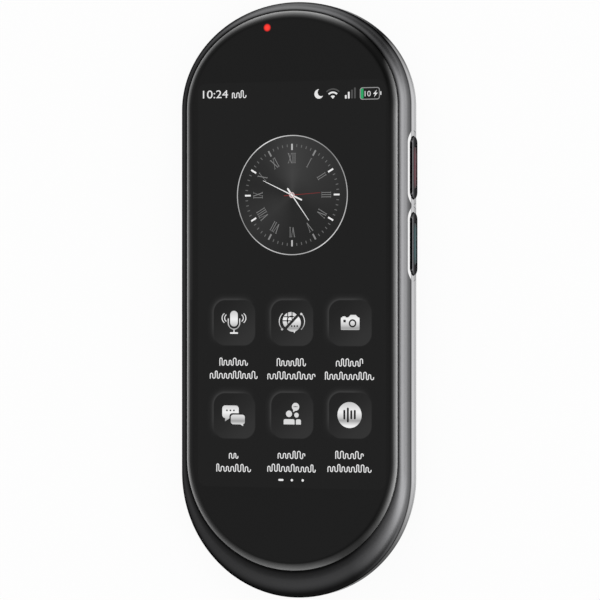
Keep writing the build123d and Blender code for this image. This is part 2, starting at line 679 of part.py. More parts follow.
# ---------------------------------------------------------------- battery
with BuildPart() as battery:
    with BuildSketch(Plane.XY.offset(BATTERY_Z)):
        with Locations((0, BATTERY_CENTRE_Y)):
            RectangleRounded(BATTERY_SIZE[0], BATTERY_SIZE[1], 1.2)
    extrude(amount=BATTERY_SIZE[2])
    chamfer(battery.edges().group_by(Axis.Z)[0] + battery.edges().group_by(Axis.Z)[-1], length=0.5)
save(battery.part, "battery")

with BuildPart() as battery_pads:
    with BuildSketch(Plane.XY.offset(BATTERY_Z + BATTERY_SIZE[2])):
        with Locations((0, BATTERY_CENTRE_Y)):
            with GridLocations(22.0, 0, 2, 1):
                Rectangle(8.0, 36.0)
    extrude(amount=PLATE_BOTTOM - BATTERY_Z - BATTERY_SIZE[2])
save(battery_pads.part, "battery_pads")

# ---------------------------------------------------------------- lower board and its socket
SUB_BOARD_END = -47.6

with BuildPart() as sub_board:
    with BuildSketch(Plane.XY.offset(BOARD_BOTTOM)):
        add(pill(shrink(BODY, 4.0)))
        with Locations((0, SUB_BOARD_END)):
            Rectangle(60, 140, align=(Align.CENTER, Align.MIN), mode=Mode.SUBTRACT)
        with Locations(SUB_SCREWS):
            Circle(SCREW_RADIUS + 0.1, mode=Mode.SUBTRACT)
    extrude(amount=BOARD_TOP - BOARD_BOTTOM)
save(sub_board.part, "sub_board")

with BuildPart() as usb_c_socket:
    with BuildSketch(Plane.XZ.offset(-USB_FRONT_Y)):
        with Locations((0, USB_Z)):
            SlotOverall(*USB_SHELL)
    extrude(amount=-USB_DEPTH)
    with BuildSketch(Plane.XZ.offset(-USB_FRONT_Y)):
        with Locations((0, USB_Z)):
            SlotOverall(*USB_MOUTH)
            Rectangle(6.7, 0.7, mode=Mode.SUBTRACT)
    extrude(amount=-(USB_DEPTH - 0.8), mode=Mode.SUBTRACT)
    with BuildSketch(Plane.XZ.offset(-USB_FRONT_Y)):
        with Locations((0, USB_Z)):
            Rectangle(6.7, 0.7)
    extrude(amount=-0.9, mode=Mode.SUBTRACT)
save(usb_c_socket.part, "usb_c_socket")

# ---------------------------------------------------------------- loudspeaker
with BuildPart() as speaker_mesh:
    with BuildSketch(Plane.XY.offset(COVER_FLOOR)):
        with Locations((0, SPEAKER_CENTRE_Y)):
            RectangleRounded(17.0, 7.0, 1.0)
    extrude(amount=0.2)
save(speaker_mesh.part, "speaker_mesh")

with BuildPart() as loudspeaker:
    with BuildSketch(Plane.XY.offset(COVER_FLOOR + 0.2)):
        with Locations((0, SPEAKER_CENTRE_Y)):
            RectangleRounded(SPEAKER_SIZE[0], SPEAKER_SIZE[1], 1.5)
    extrude(amount=SPEAKER_SIZE[2])
    with BuildSketch(Plane.XY.offset(COVER_FLOOR + 0.2)):
        with Locations((0, SPEAKER_CENTRE_Y)):
            RectangleRounded(15.0, 6.0, 2.5)
    extrude(amount=0.6, mode=Mode.SUBTRACT)
save(loudspeaker.part, "loudspeaker")

link_flex = ribbon(
    [
        (-53.0, BOARD_BOTTOM - 0.1),
        (-47.0, BOARD_BOTTOM - 0.1),
        (-43.0, COVER_FLOOR + 0.15),
        (8.6, COVER_FLOOR + 0.15),
        (11.4, BOARD_BOTTOM - 0.1),
        (15.0, BOARD_BOTTOM - 0.1),
    ],
    5.0, 14.2, FLEX_THICKNESS, 0.6,
)
save(link_flex, "link_flex")

# ---------------------------------------------------------------- microphones and antennas
with BuildPart() as microphones:
    for end, places in MIC_POSITIONS.items():
        for x in places:
            wall_y = arc_y(shrink(BODY, 4.4), x, end)
            with BuildSketch(Plane.XY.offset(BOARD_TOP)):
                with Locations((x, wall_y)):
                    reach = Align.MAX if end == "top" else Align.MIN
                    Rectangle(3.0, 2.4, align=(Align.CENTER, reach))
            extrude(amount=1.0)
save(microphones.part, "microphones")


def antenna(name, end, start_y):
    """A moulded antenna carrier that follows the inside of one rounded end."""
    with BuildPart() as carrier:
        with BuildSketch(Plane.XY.offset(BOARD_TOP + 1.05)):
            add(pill(shrink(BODY, BAND_WALL + 0.15)))
            add(pill(shrink(BODY, BAND_WALL + 1.75)), mode=Mode.SUBTRACT)
            keep = Align.MAX if end == "top" else Align.MIN
            with Locations((0, start_y)):
                Rectangle(60, 140, align=(Align.CENTER, keep), mode=Mode.SUBTRACT)
            if end == "bottom":
                with Locations((0, start_y)):
                    Rectangle(USB_SHELL[0] + 1.2, 60, mode=Mode.SUBTRACT)
            for x in MIC_POSITIONS[end]:
                with Locations((x, arc_y(BAND_INNER, x, end))):
                    Rectangle(2, 1.6, mode=Mode.SUBTRACT)
        extrude(amount=PLATE_BOTTOM - BOARD_TOP - 1.05)
    save(carrier.part, name)


antenna("top_antenna", "top", 52.0)
antenna("bottom_antenna", "bottom", -54.0)

# ---------------------------------------------------------------- screws
with BuildPart() as board_screws:
    with BuildSketch(Plane.XY.offset(BOARD_BOTTOM - 0.6)):
        with Locations(MAIN_SCREWS + SUB_SCREWS):
            Circle(1.3)
            RegularPolygon(0.5, 6, mode=Mode.SUBTRACT)
    extrude(amount=0.6)
    with BuildSketch(Plane.XY.offset(BOARD_BOTTOM - 0.25)):
        with Locations(MAIN_SCREWS + SUB_SCREWS):
            Circle(SCREW_RADIUS)
    extrude(amount=2.6)
save(board_screws.part, "board_screws")
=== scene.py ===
"""Looks of the handheld translator: smooth shell, finishes, the lit screen picture, light and camera."""

from collections import namedtuple
from math import atan2, cos, degrees, pi, radians, sin, sqrt

import bmesh
import bpy
from mathutils import Matrix, Vector


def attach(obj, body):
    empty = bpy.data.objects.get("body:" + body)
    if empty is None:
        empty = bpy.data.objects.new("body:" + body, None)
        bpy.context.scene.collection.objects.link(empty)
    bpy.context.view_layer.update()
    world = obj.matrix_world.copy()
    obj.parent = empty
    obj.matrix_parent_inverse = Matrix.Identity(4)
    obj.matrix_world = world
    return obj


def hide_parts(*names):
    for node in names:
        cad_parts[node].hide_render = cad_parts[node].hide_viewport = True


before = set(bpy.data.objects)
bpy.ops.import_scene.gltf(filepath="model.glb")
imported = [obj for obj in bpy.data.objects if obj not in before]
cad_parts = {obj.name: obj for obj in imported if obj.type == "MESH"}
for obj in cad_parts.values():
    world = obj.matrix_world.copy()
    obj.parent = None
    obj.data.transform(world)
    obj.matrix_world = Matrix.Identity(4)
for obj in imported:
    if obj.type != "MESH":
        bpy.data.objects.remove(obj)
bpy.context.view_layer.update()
MM = 0.001
collection = bpy.context.scene.collection

# ---------------- sizes, in millimetres
# An outline is two straight sides closed by an elliptical arc at each end.
Outline = namedtuple("Outline", "half_width top bottom top_arc bottom_arc")
BODY = Outline(27.4, 66.0, -66.0, 23.5, 26.9)
GLASS = Outline(25.2, 63.85, -59.8, 21.3, 24.6)
ARC_STEPS = 96
SIDE_STEPS = 12
CREASE = 32.0  # degrees between two faces from which their edge is sharp

GLASS_TOP = 11.5
GLASS_UNDERSIDE = 10.3
GLASS_EDGE_WIDTH = 2.2  # the front falls away to its edge over this width
GLASS_EDGE_DROP = 0.6
GLASS_EDGE_STEPS = 14
GLASS_GAP = 0.12
RIM_TOP = 10.75
RIM_LIP = 0.18
RIM_BREAK = 0.04  # bevel of the rim's edge along the gap
RIM_TURN = radians(78)  # how far the rim's curve turns
RIM_STEPS = 22
SHELF_Z = 10.1
SHELF_WIDTH = 1.3
BAND_TOP = 8.3
BAND_BOTTOM = 4.6
BAND_WALL = 1.4
BAND_ROUND = (0.45, 1.2)  # how far in and how high its lower edge is rounded
GROOVE_Z = 6.0
GROOVE_HALF = 0.1
GROOVE_DEPTH = 0.12
SEAM = 0.07  # rounding of the edges along the joint of rim and band
COVER_TOP = 4.5
COVER_INSET = 0.4
COVER_WALL = 1.1
COVER_FLOOR = 1.2
COVER_STEPS = 26
COVER_INNER_STEPS = 8
BACK_INSET = 9.4

KEY_Z = 6.45
KEY_HEIGHT = 2.6
KEY_REACH = 28.0
KEY_CROWN = 0.5
KEY_ROOM = 0.2  # a slot is wider than its key by this
KEY_ROOT = 25.9
TALK_LENGTH = 13.6
TALK_KEYS = {"upper_key": 28.95, "lower_key": 12.25}
CAP_REACH = 27.75  # the talk keys' caps stand a little lower and taller than the side keys'
CAP_Z = 6.52
CAP_HEIGHT = 3.06
CAP_LOW, CAP_HIGH = CAP_Z - CAP_HEIGHT / 2, CAP_Z + CAP_HEIGHT / 2
CAP_CROWN = 0.3
CAP_ROOM = 0.4  # a talk key's slot is wider than its cap by this,
CAP_ROOM_LIFT = 0.1  # with more of it above the cap than below
BAR_SIZE = (9.3, 1.74)
BAR_Z = 6.6
BAR_DEPTH = 0.3
POCKET_Z = 6.8
POCKET_SIZE = (16.45, 5.4)
POCKET_ROOT = 25.7
FACET_Z = (7.9, 9.5)  # a pocket's bright facet leans inwards between these heights,
FACET_X = (27.3, 27.05)  # from the first of these distances from the middle to the second
LEFT_KEYS = {"power_key": (16.0, 9.0), "volume_rocker": (-2.0, 18.0)}  # centre and length

TRAY_CENTRE = 33.0
TRAY_SIZE = (14.6, 2.0)
TRAY_FRONT_X = -27.38
TRAY_FRONT_DEPTH = 1.3
TRAY_PLATE_Z = (6.2, 6.9)
TRAY_PLATE_X = -19.45
TRAY_PLATE_HALF = (7.0, 6.3)
CARD_X = -18.8
CARD_WINDOW_HALF = (4.4, 5.05)
CARD_SEAT_HALF = (4.9, 5.6)
CARD_SEAT_Z = 6.65
CARD_CUT_Z = (5.5, 7.5)  # the window is cut between these heights
CARD_CORNER = 0.8
EJECT_Y = TRAY_CENTRE + 5.9
EJECT_RADIUS = 0.42

CAMERA_SPOT = (0.0, 44.0)
CAMERA_RING_RADIUS = 5.2
CAMERA_GLASS_RADIUS = 4.3
LENS_RADIUS = 1.85
FLASH_SPOT = (10.0, 44.0)
FLASH_RADIUS = 1.8
HOLE_ROOM = 0.03  # a hole in the cover is wider than its camera or flash by this all round
GRILLE_Y = -42.5
GRILLE_SLOT = (5.0, 1.1)
GRILLE_COLUMNS = [2.4 * (k - 2.5) for k in range(6)]
USB_Z = 6.6
USB_SHELL = (8.94, 3.2)
USB_MOUTH = (8.34, 2.56)
USB_FRONT = -64.1
USB_END = USB_FRONT + 7.3
USB_BLOCK = 0.5  # thickness of the block that carries the tongue
TONGUE_HALF = (3.35, 0.35)
CONTACT_COLUMNS = [0.5 * (k - 5.5) for k in range(12)]
MIC_RADIUS = 0.45
MIC_HOLES = (((-70, -50), (-13.0, 13.0)), ((50, 70), (0.0,)))  # per end: from and to, and the columns

INK = 0.02  # thickness of one layer of the screen picture
DISPLAY_SIZE = (45.0, 89.8)
DISPLAY_CENTRE = (0.25, 3.35)
LED_SPOT = (-5.42, 60.28)
LED_GLOW_RADIUS = 0.9
CLOCK_CENTRE = (0.55, 23.13)
CLOCK_RADIUS = 13.26
TILE_SPOTS = ((-13.37, -5.09), (0.55, -5.11), (14.38, -5.08), (-13.37, -25.78), (0.58, -25.56),
              (14.38, -25.35))
TILE_HALF = 5.05
TILE_CORNER = 2.8
TILE_HALO = 1.6
ICON_SHIFT = (-0.18, 0.14)  # an icon's middle lies a little up and left of its tile's
MARKS_Y = -39.8
STATUS_Y = 45.3
TIME_FOOT = 44.93
BATTERY_CENTRE = (19.0, 45.15)


# ---------------- node helpers
def grey(value):
    """A colour from a grey; a colour stays as it is."""
    return (value,) * 3 if isinstance(value, (int, float)) else tuple(value)


class Tree:
    """Builds nodes for a material or a world. A value is a number, a colour or another node's output."""

    def __init__(self, owner):
        owner.use_nodes = True
        self.nodes, self.links = owner.node_tree.nodes, owner.node_tree.links

    def add(self, kind, **settings):
        node = self.nodes.new("ShaderNode" + kind)
        for key, value in settings.items():
            setattr(node, key, value)
        return node

    def feed(self, socket, value):
        if isinstance(value, bpy.types.NodeSocket):
            self.links.new(value, socket)
        else:
            socket.default_value = (*value, 1) if isinstance(value, tuple) else value

    def calc(self, operation, *values):
        """A maths node."""
        node = self.add("Math", operation=operation)
        for socket, value in zip(node.inputs, values):
            self.feed(socket, value)
        return node.outputs["Value"]

    def place(self, kind="Object"):
        """The x, y and z of the point, by default in its object's own space, in metres."""
        split = self.add("SeparateXYZ")
        self.feed(split.inputs["Vector"], self.add("TexCoord").outputs[kind])
        return [split.outputs[axis] for axis in "XYZ"]

    def noise(self, scale, stretch=(1, 1, 1)):
        """A noise field over object space, scale in features per metre."""
        mapping, field = self.add("Mapping"), self.add("TexNoise")
        mapping.inputs["Scale"].default_value = stretch
        field.inputs["Scale"].default_value = scale
        field.inputs["Detail"].default_value = 3
        self.feed(mapping.inputs["Vector"], self.add("TexCoord").outputs["Object"])
        self.feed(field.inputs["Vector"], mapping.outputs["Vector"])
        return field.outputs["Fac"]

    def ramp(self, source, stops):
        """A colour ramp; stops are (position, grey or colour)."""
        node = self.add("ValToRGB")
        elements = node.color_ramp.elements
        while len(elements) < len(stops):
            elements.new(0.5)
        for element, (position, value) in zip(elements, stops):
            element.position = position
            element.color = (*grey(value), 1)
        self.feed(node.inputs["Fac"], source)
        return node.outputs["Color"]

    def span(self, source, low, high):
        """Maps a length in millimetres, low to high, onto 0 to 1."""
        node = self.add("MapRange")
        node.inputs["From Min"].default_value = low * MM
        node.inputs["From Max"].default_value = high * MM
        self.feed(node.inputs["Value"], source)
        return node.outputs["Result"]

    def over(self, source, low, high, stops):
        """A colour ramp over a length in millimetres, low to high."""
        return self.ramp(self.span(source, low, high), stops)

    def reach(self, x, y):
        """How far the point (x, y) lies from the middle."""
        squares = [self.calc("MULTIPLY", value, value) for value in (x, y)]
        return self.calc("SQRT", self.calc("ADD", *squares))

    def sweep(self, first, second, stops):
        """A grey that varies with the arc tangent of first over second; stops are (degrees, grey)."""
        turns = self.calc("MULTIPLY_ADD", self.calc("ARCTAN2", first, second), 0.5 / pi, 0.5)
        return self.ramp(turns, [(0.5 + angle / 360, value) for angle, value in stops])

    def round_body(self, x, y, stops):
        """A grey that varies round the body, in degrees anticlockwise from its right side."""
        along = self.calc("DIVIDE", y, BODY.top * MM)
        return self.sweep(along, self.calc("DIVIDE", x, BODY.half_width * MM), stops)

    def blend(self, first, second, share=1.0, kind="MIX"):
        node = self.add("Mix", data_type="RGBA", blend_type=kind)
        for key, value in ((0, share), ("A", first), ("B", second)):
            self.feed(node.inputs[key], value)
        return node.outputs["Result"]

    def shade(self, colour, by):
        return self.blend(colour, by, kind="MULTIPLY")

    def fleck(self, field, low, high, ends=(0.3, 0.7)):
        """Varies from low to high with a noise field."""
        return self.ramp(field, [(ends[0], low), (ends[1], high)])


PRINT = 0.0035  # how little light the black print under the glass returns
SCREEN_ROUGH = 0.05
RELIEF_DEPTH = 0.00002


class Finish(Tree):
    """A new material, built on its Principled shader."""

    def __init__(self, name):
        self.material = bpy.data.materials.new(name)
        super().__init__(self.material)

    def put(self, **values):
        """Feeds inputs of the shader, named with _ for a space; returns the material."""
        for name, value in values.items():
            self.feed(self.nodes["Principled BSDF"].inputs[name.replace("_", " ")], value)
        return self.material

    def bump(self, height, strength):
        node = self.add("Bump")
        node.inputs["Strength"].default_value = strength
        node.inputs["Distance"].default_value = RELIEF_DEPTH
        self.feed(node.inputs["Height"], height)
        self.put(Normal=node.outputs["Normal"])

    def glow(self, colour):
        """Makes it the glass front with a colour that glows under it."""
        return self.put(Emission_Color=colour, Emission_Strength=1, Base_Color=grey(PRINT),
                        Roughness=SCREEN_ROUGH)


def surface(name, colour, metallic, rough, grain=2500, vary=0.12, relief=0.05, coat=0, stretch=(1, 1, 1)):
    """A solid finish: fine grain in its colour, roughness and relief."""
    finish = Finish(name)
    field = finish.noise(grain, stretch)
    low, high = ([min(1, c * (1 + change)) for c in grey(colour)] for change in (-vary, vary))
    if relief:
        finish.bump(field, relief)
    return finish.put(Base_Color=finish.fleck(field, low, high), Metallic=metallic, Coat_Weight=coat,
                      Roughness=finish.fleck(finish.noise(grain / 40), rough * 0.85, rough * 1.15))


def lit(name, colour):
    """A glowing part of the screen picture under polished glass."""
    finish = Finish(name)
    low = [c * 0.96 for c in grey(colour)]
    return finish.glow(finish.fleck(finish.noise(9000), low, colour, (0.35, 0.65)))


# ---------------- mesh helpers
def link(name, data):
    made = bpy.data.objects.new(name, data)
    collection.objects.link(made)
    return made


def link_mesh(mesh, name):
    """A linked object made from a bmesh."""
    bmesh.ops.recalc_face_normals(mesh, faces=mesh.faces)
    data = bpy.data.meshes.new(name)
    mesh.to_mesh(data)
    mesh.free()
    return link(name, data)


def piece(mesh, name, material, slot, replaced=None, body="housing", origin=None):
    """Makes a piece: smooth faces with sharp creases, its finish, its body and the node that it replaces."""
    made = link_mesh(mesh, name)
    if origin:
        shift = Vector(origin) * MM
        made.data.transform(Matrix.Translation(-shift))
        made.location = shift
    made.data.shade_smooth()
    made.data.set_sharp_from_angle(angle=radians(CREASE))
    made.data.materials.append(material)
    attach(made, body)
    if replaced:
        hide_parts(replaced)


def skin(rows, closed=False, mesh=None):
    """A skin over rows of points (mm): a closed ring of rows, or a stack closed by a face at each end."""
    mesh = mesh or bmesh.new()
    rings = [[mesh.verts.new(Vector(point) * MM) for point in row] for row in rows]
    following = rings[1:] + rings[:1] if closed else rings[1:]
    for ring, after in zip(rings, following):
        for i in range(len(ring)):
            j = (i + 1) % len(ring)
            mesh.faces.new((ring[i], ring[j], after[j], after[i]))
    if not closed:
        mesh.faces.new(rings[0][::-1])
        mesh.faces.new(rings[-1])
    return mesh


def carve(mesh, cutters):
    """A mesh less each of the cutters."""
    blank, *tools = [link_mesh(shape, "blank") for shape in (mesh, *cutters)]
    for tool in tools:
        modifier = blank.modifiers.new("cut", "BOOLEAN")
        modifier.object = tool
        modifier.operation = "DIFFERENCE"
        modifier.solver = "EXACT"
    bpy.context.view_layer.update()
    shaped = bmesh.new()
    shaped.from_object(blank, bpy.context.evaluated_depsgraph_get())
    for used in (blank, *tools):
        bpy.data.meshes.remove(used.data)
    return shaped


def shrink(outline, inset):
    """The same outline moved inwards; a negative inset moves it outwards."""
    return Outline(outline.half_width - inset, outline.top - inset, outline.bottom + inset,
                   outline.top_arc - inset, outline.bottom_arc - inset)


def between(outer, inner, share):
    return Outline(*[a + (b - a) * share for a, b in zip(outer, inner)])


def around(outline, z, inset=0.0):
    """Points round an outline at height z, anticlockwise from the low end of its right side."""
    outline = shrink(outline, inset)
    right = outline.half_width
    high, low = outline.top - outline.top_arc, outline.bottom + outline.bottom_arc
    points = []
    halves = ((right, low, high, outline.top_arc), (-right, high, low, -outline.bottom_arc))
    for side, start, end, arc in halves:
        points += [(side, start + (end - start) * k / SIDE_STEPS, z) for k in range(SIDE_STEPS)]
        for k in range(ARC_STEPS):
            angle = pi * k / ARC_STEPS
            points.append((side * cos(angle), end + arc * sin(angle), z))
    return points


def circle(centre, radius, steps=48, start=0.0, sweep=360.0):
    """Points round a circle, or along an arc of it."""
    count = steps if sweep >= 360.0 else steps + 1
    turns = [radians(start + sweep * k / steps) for k in range(count)]
    return [(centre[0] + radius * cos(a), centre[1] + radius * sin(a)) for a in turns]


def stadium(centre, length, height, steps=20):
    """Points round a slot shape, its length along the first axis."""
    reach = (length - height) / 2
    right = circle((centre[0] + reach, centre[1]), height / 2, steps, -90, 180)
    return right + circle((centre[0] - reach, centre[1]), height / 2, steps, 90, 180)


def rounded(centre, half_x, half_y, corner, steps=8):
    """Points round a rectangle with round corners."""
    points = []
    for turn, sx, sy in ((0, 1, 1), (90, -1, 1), (180, -1, -1), (270, 1, -1)):
        middle = (centre[0] + sx * (half_x - corner), centre[1] + sy * (half_y - corner))
        points += circle(middle, corner, steps, turn, 90)
    return points


def lay(points, axis, level):
    """Flat points set up at a level along an axis: across X they are (y, z), across Y (x, z)."""
    if axis == "X":
        return [(level, u, v) for u, v in points]
    if axis == "Y":
        return [(u, level, v) for u, v in points]
    return [(u, v, level) for u, v in points]


def prism(points, axis, start, end, mesh=None):
    return skin([lay(points, axis, start), lay(points, axis, end)], mesh=mesh)


def slot_stack(centre, axis, sizes):
    """Slot shapes, one row for each (length, height, level along the axis)."""
    return [lay(stadium(centre, length, height), axis, level) for length, height, level in sizes]


def lathe(profile, centre, closed=False, steps=96):
    """A turned shape about an upright axis, from (radius, z) points."""
    return skin([lay(circle(centre, radius, steps), "Z", z) for radius, z in profile], closed=closed)


# ---------------- finishes
def make_black_glass():
    """Black glass with a painted highlight along its falling edge: pale, widest at the bottom end, and fading
    at set angles round the body.
    """
    finish = Finish("black_glass")
    smear = finish.noise(45)
    x, y, height = finish.place()
    rise = finish.span(height, GLASS_TOP - GLASS_EDGE_DROP, GLASS_TOP)
    # Painted highlight: the pale edge stands in for the light that the falling edge reflects; the share round
    # the body and the ends set where it shows.
    narrow_edge_highlight = finish.ramp(rise, [(0, 0.5), (0.12, 0.42), (0.3, 0.23), (0.5, 0.09), (0.68, PRINT), (1, PRINT)])
    wide_edge_highlight = finish.ramp(rise, [(0, 0.27), (0.25, 0.2), (0.52, 0.11), (0.78, 0.035), (0.92, PRINT), (1, PRINT)])
    at_ends = finish.over(y, GLASS.bottom, GLASS.top, [(0, 1), (0.06, 0.8), (0.18, 0), (0.92, 0), (1, 0.45)])
    share = finish.round_body(x, y, [
        (-180, 1), (-148, 0.95), (-127, 0.45), (-110, 0.6), (-95, 0.85), (-76, 0.7), (-62, 0.15), (-53, 0.06),
        (-45, 0.25), (-36, 0.68), (34, 0.7), (40, 0.28), (45, 0), (53, 0), (61, 0.2), (74, 0.85), (107, 0.9),
        (122, 0.35), (140, 0.65), (180, 1)])
    edge = finish.blend(grey(PRINT), finish.blend(narrow_edge_highlight, wide_edge_highlight, at_ends), share)
    calm = finish.round_body(x, y, [
        (-90, 0.3), (-68, 0.7), (-44, 0.7), (-36, 0.25), (34, 0.25), (41, 1), (56, 1), (70, 0.5), (110, 0.5),
        (125, 0.7), (145, 0.4), (170, 0)])
    gloss = finish.blend(grey(0.5), finish.ramp(rise, [(0.9, 0.1), (1, 0.5)]), calm)
    return finish.put(Base_Color=finish.shade(edge, finish.fleck(smear, 0.9, 1)), IOR=1.5,
                      Roughness=finish.fleck(smear, 0.05, 0.08, (0.35, 0.7)), Specular_IOR_Level=gloss)


def make_satin_rim():
    """Dark blasted metal with painted light and shade: paler where the light falls along the side with the
    talk keys, darker towards both edges of its curve and round most of the other sides.
    """
    finish = Finish("satin_rim")
    blasted = finish.noise(4200)
    x, y, height = finish.place()
    level = finish.span(height, BAND_TOP, RIM_TOP)
    # Painted light and shade: tones by height up the rim's curve, the lit one for the talk-key side and the
    # shaded one for the rest.
    pale = finish.ramp(level, [(0, 0.35), (0.05, 0.9), (0.25, 1.25), (0.4, 1.3), (0.5, 1.6), (0.65, 2.2),
                               (0.75, 1.8), (0.9, 1.5), (0.98, 1.15), (1, 0.75)])
    shaded_sides_tone = finish.ramp(level, [(0, 0.06), (0.1, 0.12), (0.5, 0.17), (0.75, 0.42), (0.9, 0.55), (0.98, 0.3),
                               (1, 0.1)])
    side = finish.round_body(x, y, [
        (-60, 0), (-50, 0.3), (-42, 0.8), (-36, 1), (35, 1), (41, 0.6), (47, 0.08), (58, 0.15), (72, 0.6),
        (90, 0.65), (107, 0.5), (122, 0.1), (130, 0)])
    speckle = finish.fleck(blasted, (0.112, 0.112, 0.115), (0.128, 0.128, 0.131))
    finish.bump(blasted, 0.05)
    return finish.put(Base_Color=finish.shade(speckle, finish.blend(shaded_sides_tone, pale, side)),
                      Roughness=finish.fleck(blasted, 0.28, 0.34), Metallic=1, Specular_Tint=grey(0.2))


def make_polished_band():
    """Polished metal with painted reflections and shade: bright in the middle of its height, a painted dark
    line along its groove, dark round the ends, and slimmer at the top one.
    """
    finish = Finish("polished_band")
    brushed = finish.noise(900, (0.2, 0.2, 6))
    _, along, height = finish.place()
    level, along = finish.span(height, BAND_BOTTOM, BAND_TOP), finish.span(along, BODY.bottom, BODY.top)
    # Painted reflections: bright bands down the height, with painted shade at both edges and in the groove;
    # the tint of its reflections also fades round the ends.
    painted_reflection_bands = finish.ramp(level, [(0, 0.12), (0.12, 0.22), (0.22, 0.75), (0.345, 0.85), (0.355, 0.2),
                                 (0.4, 0.2), (0.41, 0.87), (0.84, 0.95), (0.91, 0.3), (1, 0.1)])
    painted_top_bands = finish.ramp(level, [(0, 0.05), (0.45, 0.1), (0.65, 0.5), (0.86, 0.6), (0.92, 0.3), (1, 0.1)])
    painted_reflection_bands = finish.blend(painted_reflection_bands, painted_top_bands, finish.ramp(along, [(0.84, 0), (0.9, 1)]))
    ends = finish.ramp(along, [(0, 0.01), (0.045, 0.02), (0.09, 0.12), (0.15, 0.6), (0.2, 1), (0.84, 1),
                               (0.92, 0.9), (0.95, 0.5), (0.975, 0.1), (1, 0.01)])
    grazing = finish.ramp(along, [(0, 0.15), (0.05, 0.35), (0.1, 0.7), (0.15, 1), (0.88, 1), (0.92, 0.6),
                                  (0.94, 0.15), (1, 0.05)])
    metal = finish.fleck(brushed, (0.55, 0.55, 0.56), (0.59, 0.59, 0.60))
    metal = finish.shade(finish.shade(metal, painted_reflection_bands), ends)
    return finish.put(Base_Color=metal, Roughness=finish.fleck(brushed, 0.1, 0.16), Metallic=1,
                      Specular_Tint=grazing)


def make_key_metal():
    """Satin metal with painted light and shade: a painted highlight on the upper round of a cap and painted
    shade along its flanks.
    """
    finish = Finish("key_metal")
    blasted = finish.noise(5000)
    # Painted light and shade by height across the cap.
    painted_light_by_height = finish.over(finish.place()[2], CAP_LOW, CAP_HIGH, [
        (0, 0.05), (0.15, 0.15), (0.3, 0.5), (0.7, 1), (0.86, 2), (0.97, 3), (0.99, 0.05), (1, 0.05)])
    speckle = finish.fleck(blasted, (0.052, 0.052, 0.054), (0.06, 0.06, 0.062))
    return finish.put(Base_Color=finish.shade(speckle, painted_light_by_height), Metallic=1,
                      Roughness=finish.fleck(blasted, 0.24, 0.3), Specular_Tint=grey(0.4))


def inlay(name, colour):
    """A coloured inlay that fades out towards its two ends."""
    finish = Finish(name)
    along = finish.calc("ABSOLUTE", finish.place()[1])
    fade = finish.over(along, 0, BAR_SIZE[0] / 2, [(0, 1), (0.6, 0.85), (0.85, 0.4), (1, 0.12)])
    fleck = finish.fleck(finish.noise(4000), [c * 0.94 for c in colour], colour)
    return finish.put(Base_Color=finish.shade(fleck, fade), Roughness=0.3, Specular_IOR_Level=0.1)


black_glass = make_black_glass()
satin_rim = make_satin_rim()
polished_band = make_polished_band()
key_metal = make_key_metal()
red_inlay = inlay("red_inlay", (0.09, 0.008, 0.018))
teal_inlay = inlay("teal_inlay", (0.004, 0.055, 0.06))
bright_cut = surface("bright_cut", 0.93, 1, 0.08, grain=1200, vary=0.02, relief=0)
soft_black = surface("soft_black", (0.022, 0.022, 0.024), 0, 0.55, grain=6000, vary=0.25, relief=0.25)
dark_trim = surface("dark_trim", (0.12, 0.12, 0.125), 1, 0.25, grain=1500, stretch=(1, 1, 20))
lens_glass = surface("lens_glass", (0.006, 0.006, 0.01), 0, 0.04, grain=300, relief=0, coat=1)
lens_coating = surface("lens_coating", (0.03, 0.012, 0.06), 0, 0.05, grain=500, relief=0, coat=1)
frosted = surface("frosted_lens", (0.8, 0.77, 0.62), 0, 0.35, grain=9000, relief=0.3)
tray_metal = surface("tray_metal", (0.56, 0.56, 0.57), 1, 0.16, grain=900, vary=0.06, relief=0.02,
                     stretch=(1, 0.2, 6))
bare_steel = surface("bare_steel", 0.6, 1, 0.3, grain=1500, stretch=(1, 12, 1))
board_green = surface("board_green", (0.01, 0.09, 0.045), 0, 0.35, grain=700, vary=0.3)
amber_film = surface("amber_film", (0.32, 0.15, 0.03), 0, 0.3, grain=1200)
black_plastic = surface("black_plastic", 0.03, 0, 0.45, grain=3500)
cast_metal = surface("cast_metal", (0.42, 0.42, 0.43), 1, 0.5, grain=1600, vary=0.2, relief=0.4)
foam_black = surface("foam_black", 0.02, 0, 0.85, relief=0.6)
pouch_grey = surface("pouch_grey", (0.22, 0.22, 0.24), 0.6, 0.4, grain=900)
mesh_black = surface("mesh_black", 0.015, 0, 0.7, grain=8000, relief=0.8)
gold_can = surface("gold_can", (0.7, 0.55, 0.25), 1, 0.28)
red_glow = lit("red_glow", (1.0, 0.035, 0.02))

FINISHES = {
    black_glass: "cover_glass display_panel",
    satin_rim: "front_rim",
    polished_band: "side_band",
    key_metal: "upper_key lower_key power_key volume_rocker",
    soft_black: "rear_cover",
    dark_trim: "camera_trim_ring",
    lens_glass: "camera_window",
    frosted: "flash_lens",
    red_inlay: "upper_key_bar",
    teal_inlay: "lower_key_bar",
    bare_steel: "display_tray processor_shield radio_shield sim_socket usb_c_socket left_key_bracket "
                "right_key_bracket left_key_switches right_key_switches vibration_motor board_screws",
    tray_metal: "sim_tray",
    board_green: "main_board sub_board",
    amber_film: "display_flex link_flex left_key_flex right_key_flex",
    black_plastic: "rear_camera loudspeaker top_antenna bottom_antenna chips flash_led status_led",
    cast_metal: "mid_plate",
    foam_black: "glass_seal cover_tape display_pads battery_pads",
    pouch_grey: "battery",
    mesh_black: "speaker_mesh",
    gold_can: "microphones",
    red_glow: "status_light_guide",
}
for material, names in FINISHES.items():
    for name in names.split():
        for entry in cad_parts[name].material_slots:
            entry.material = material

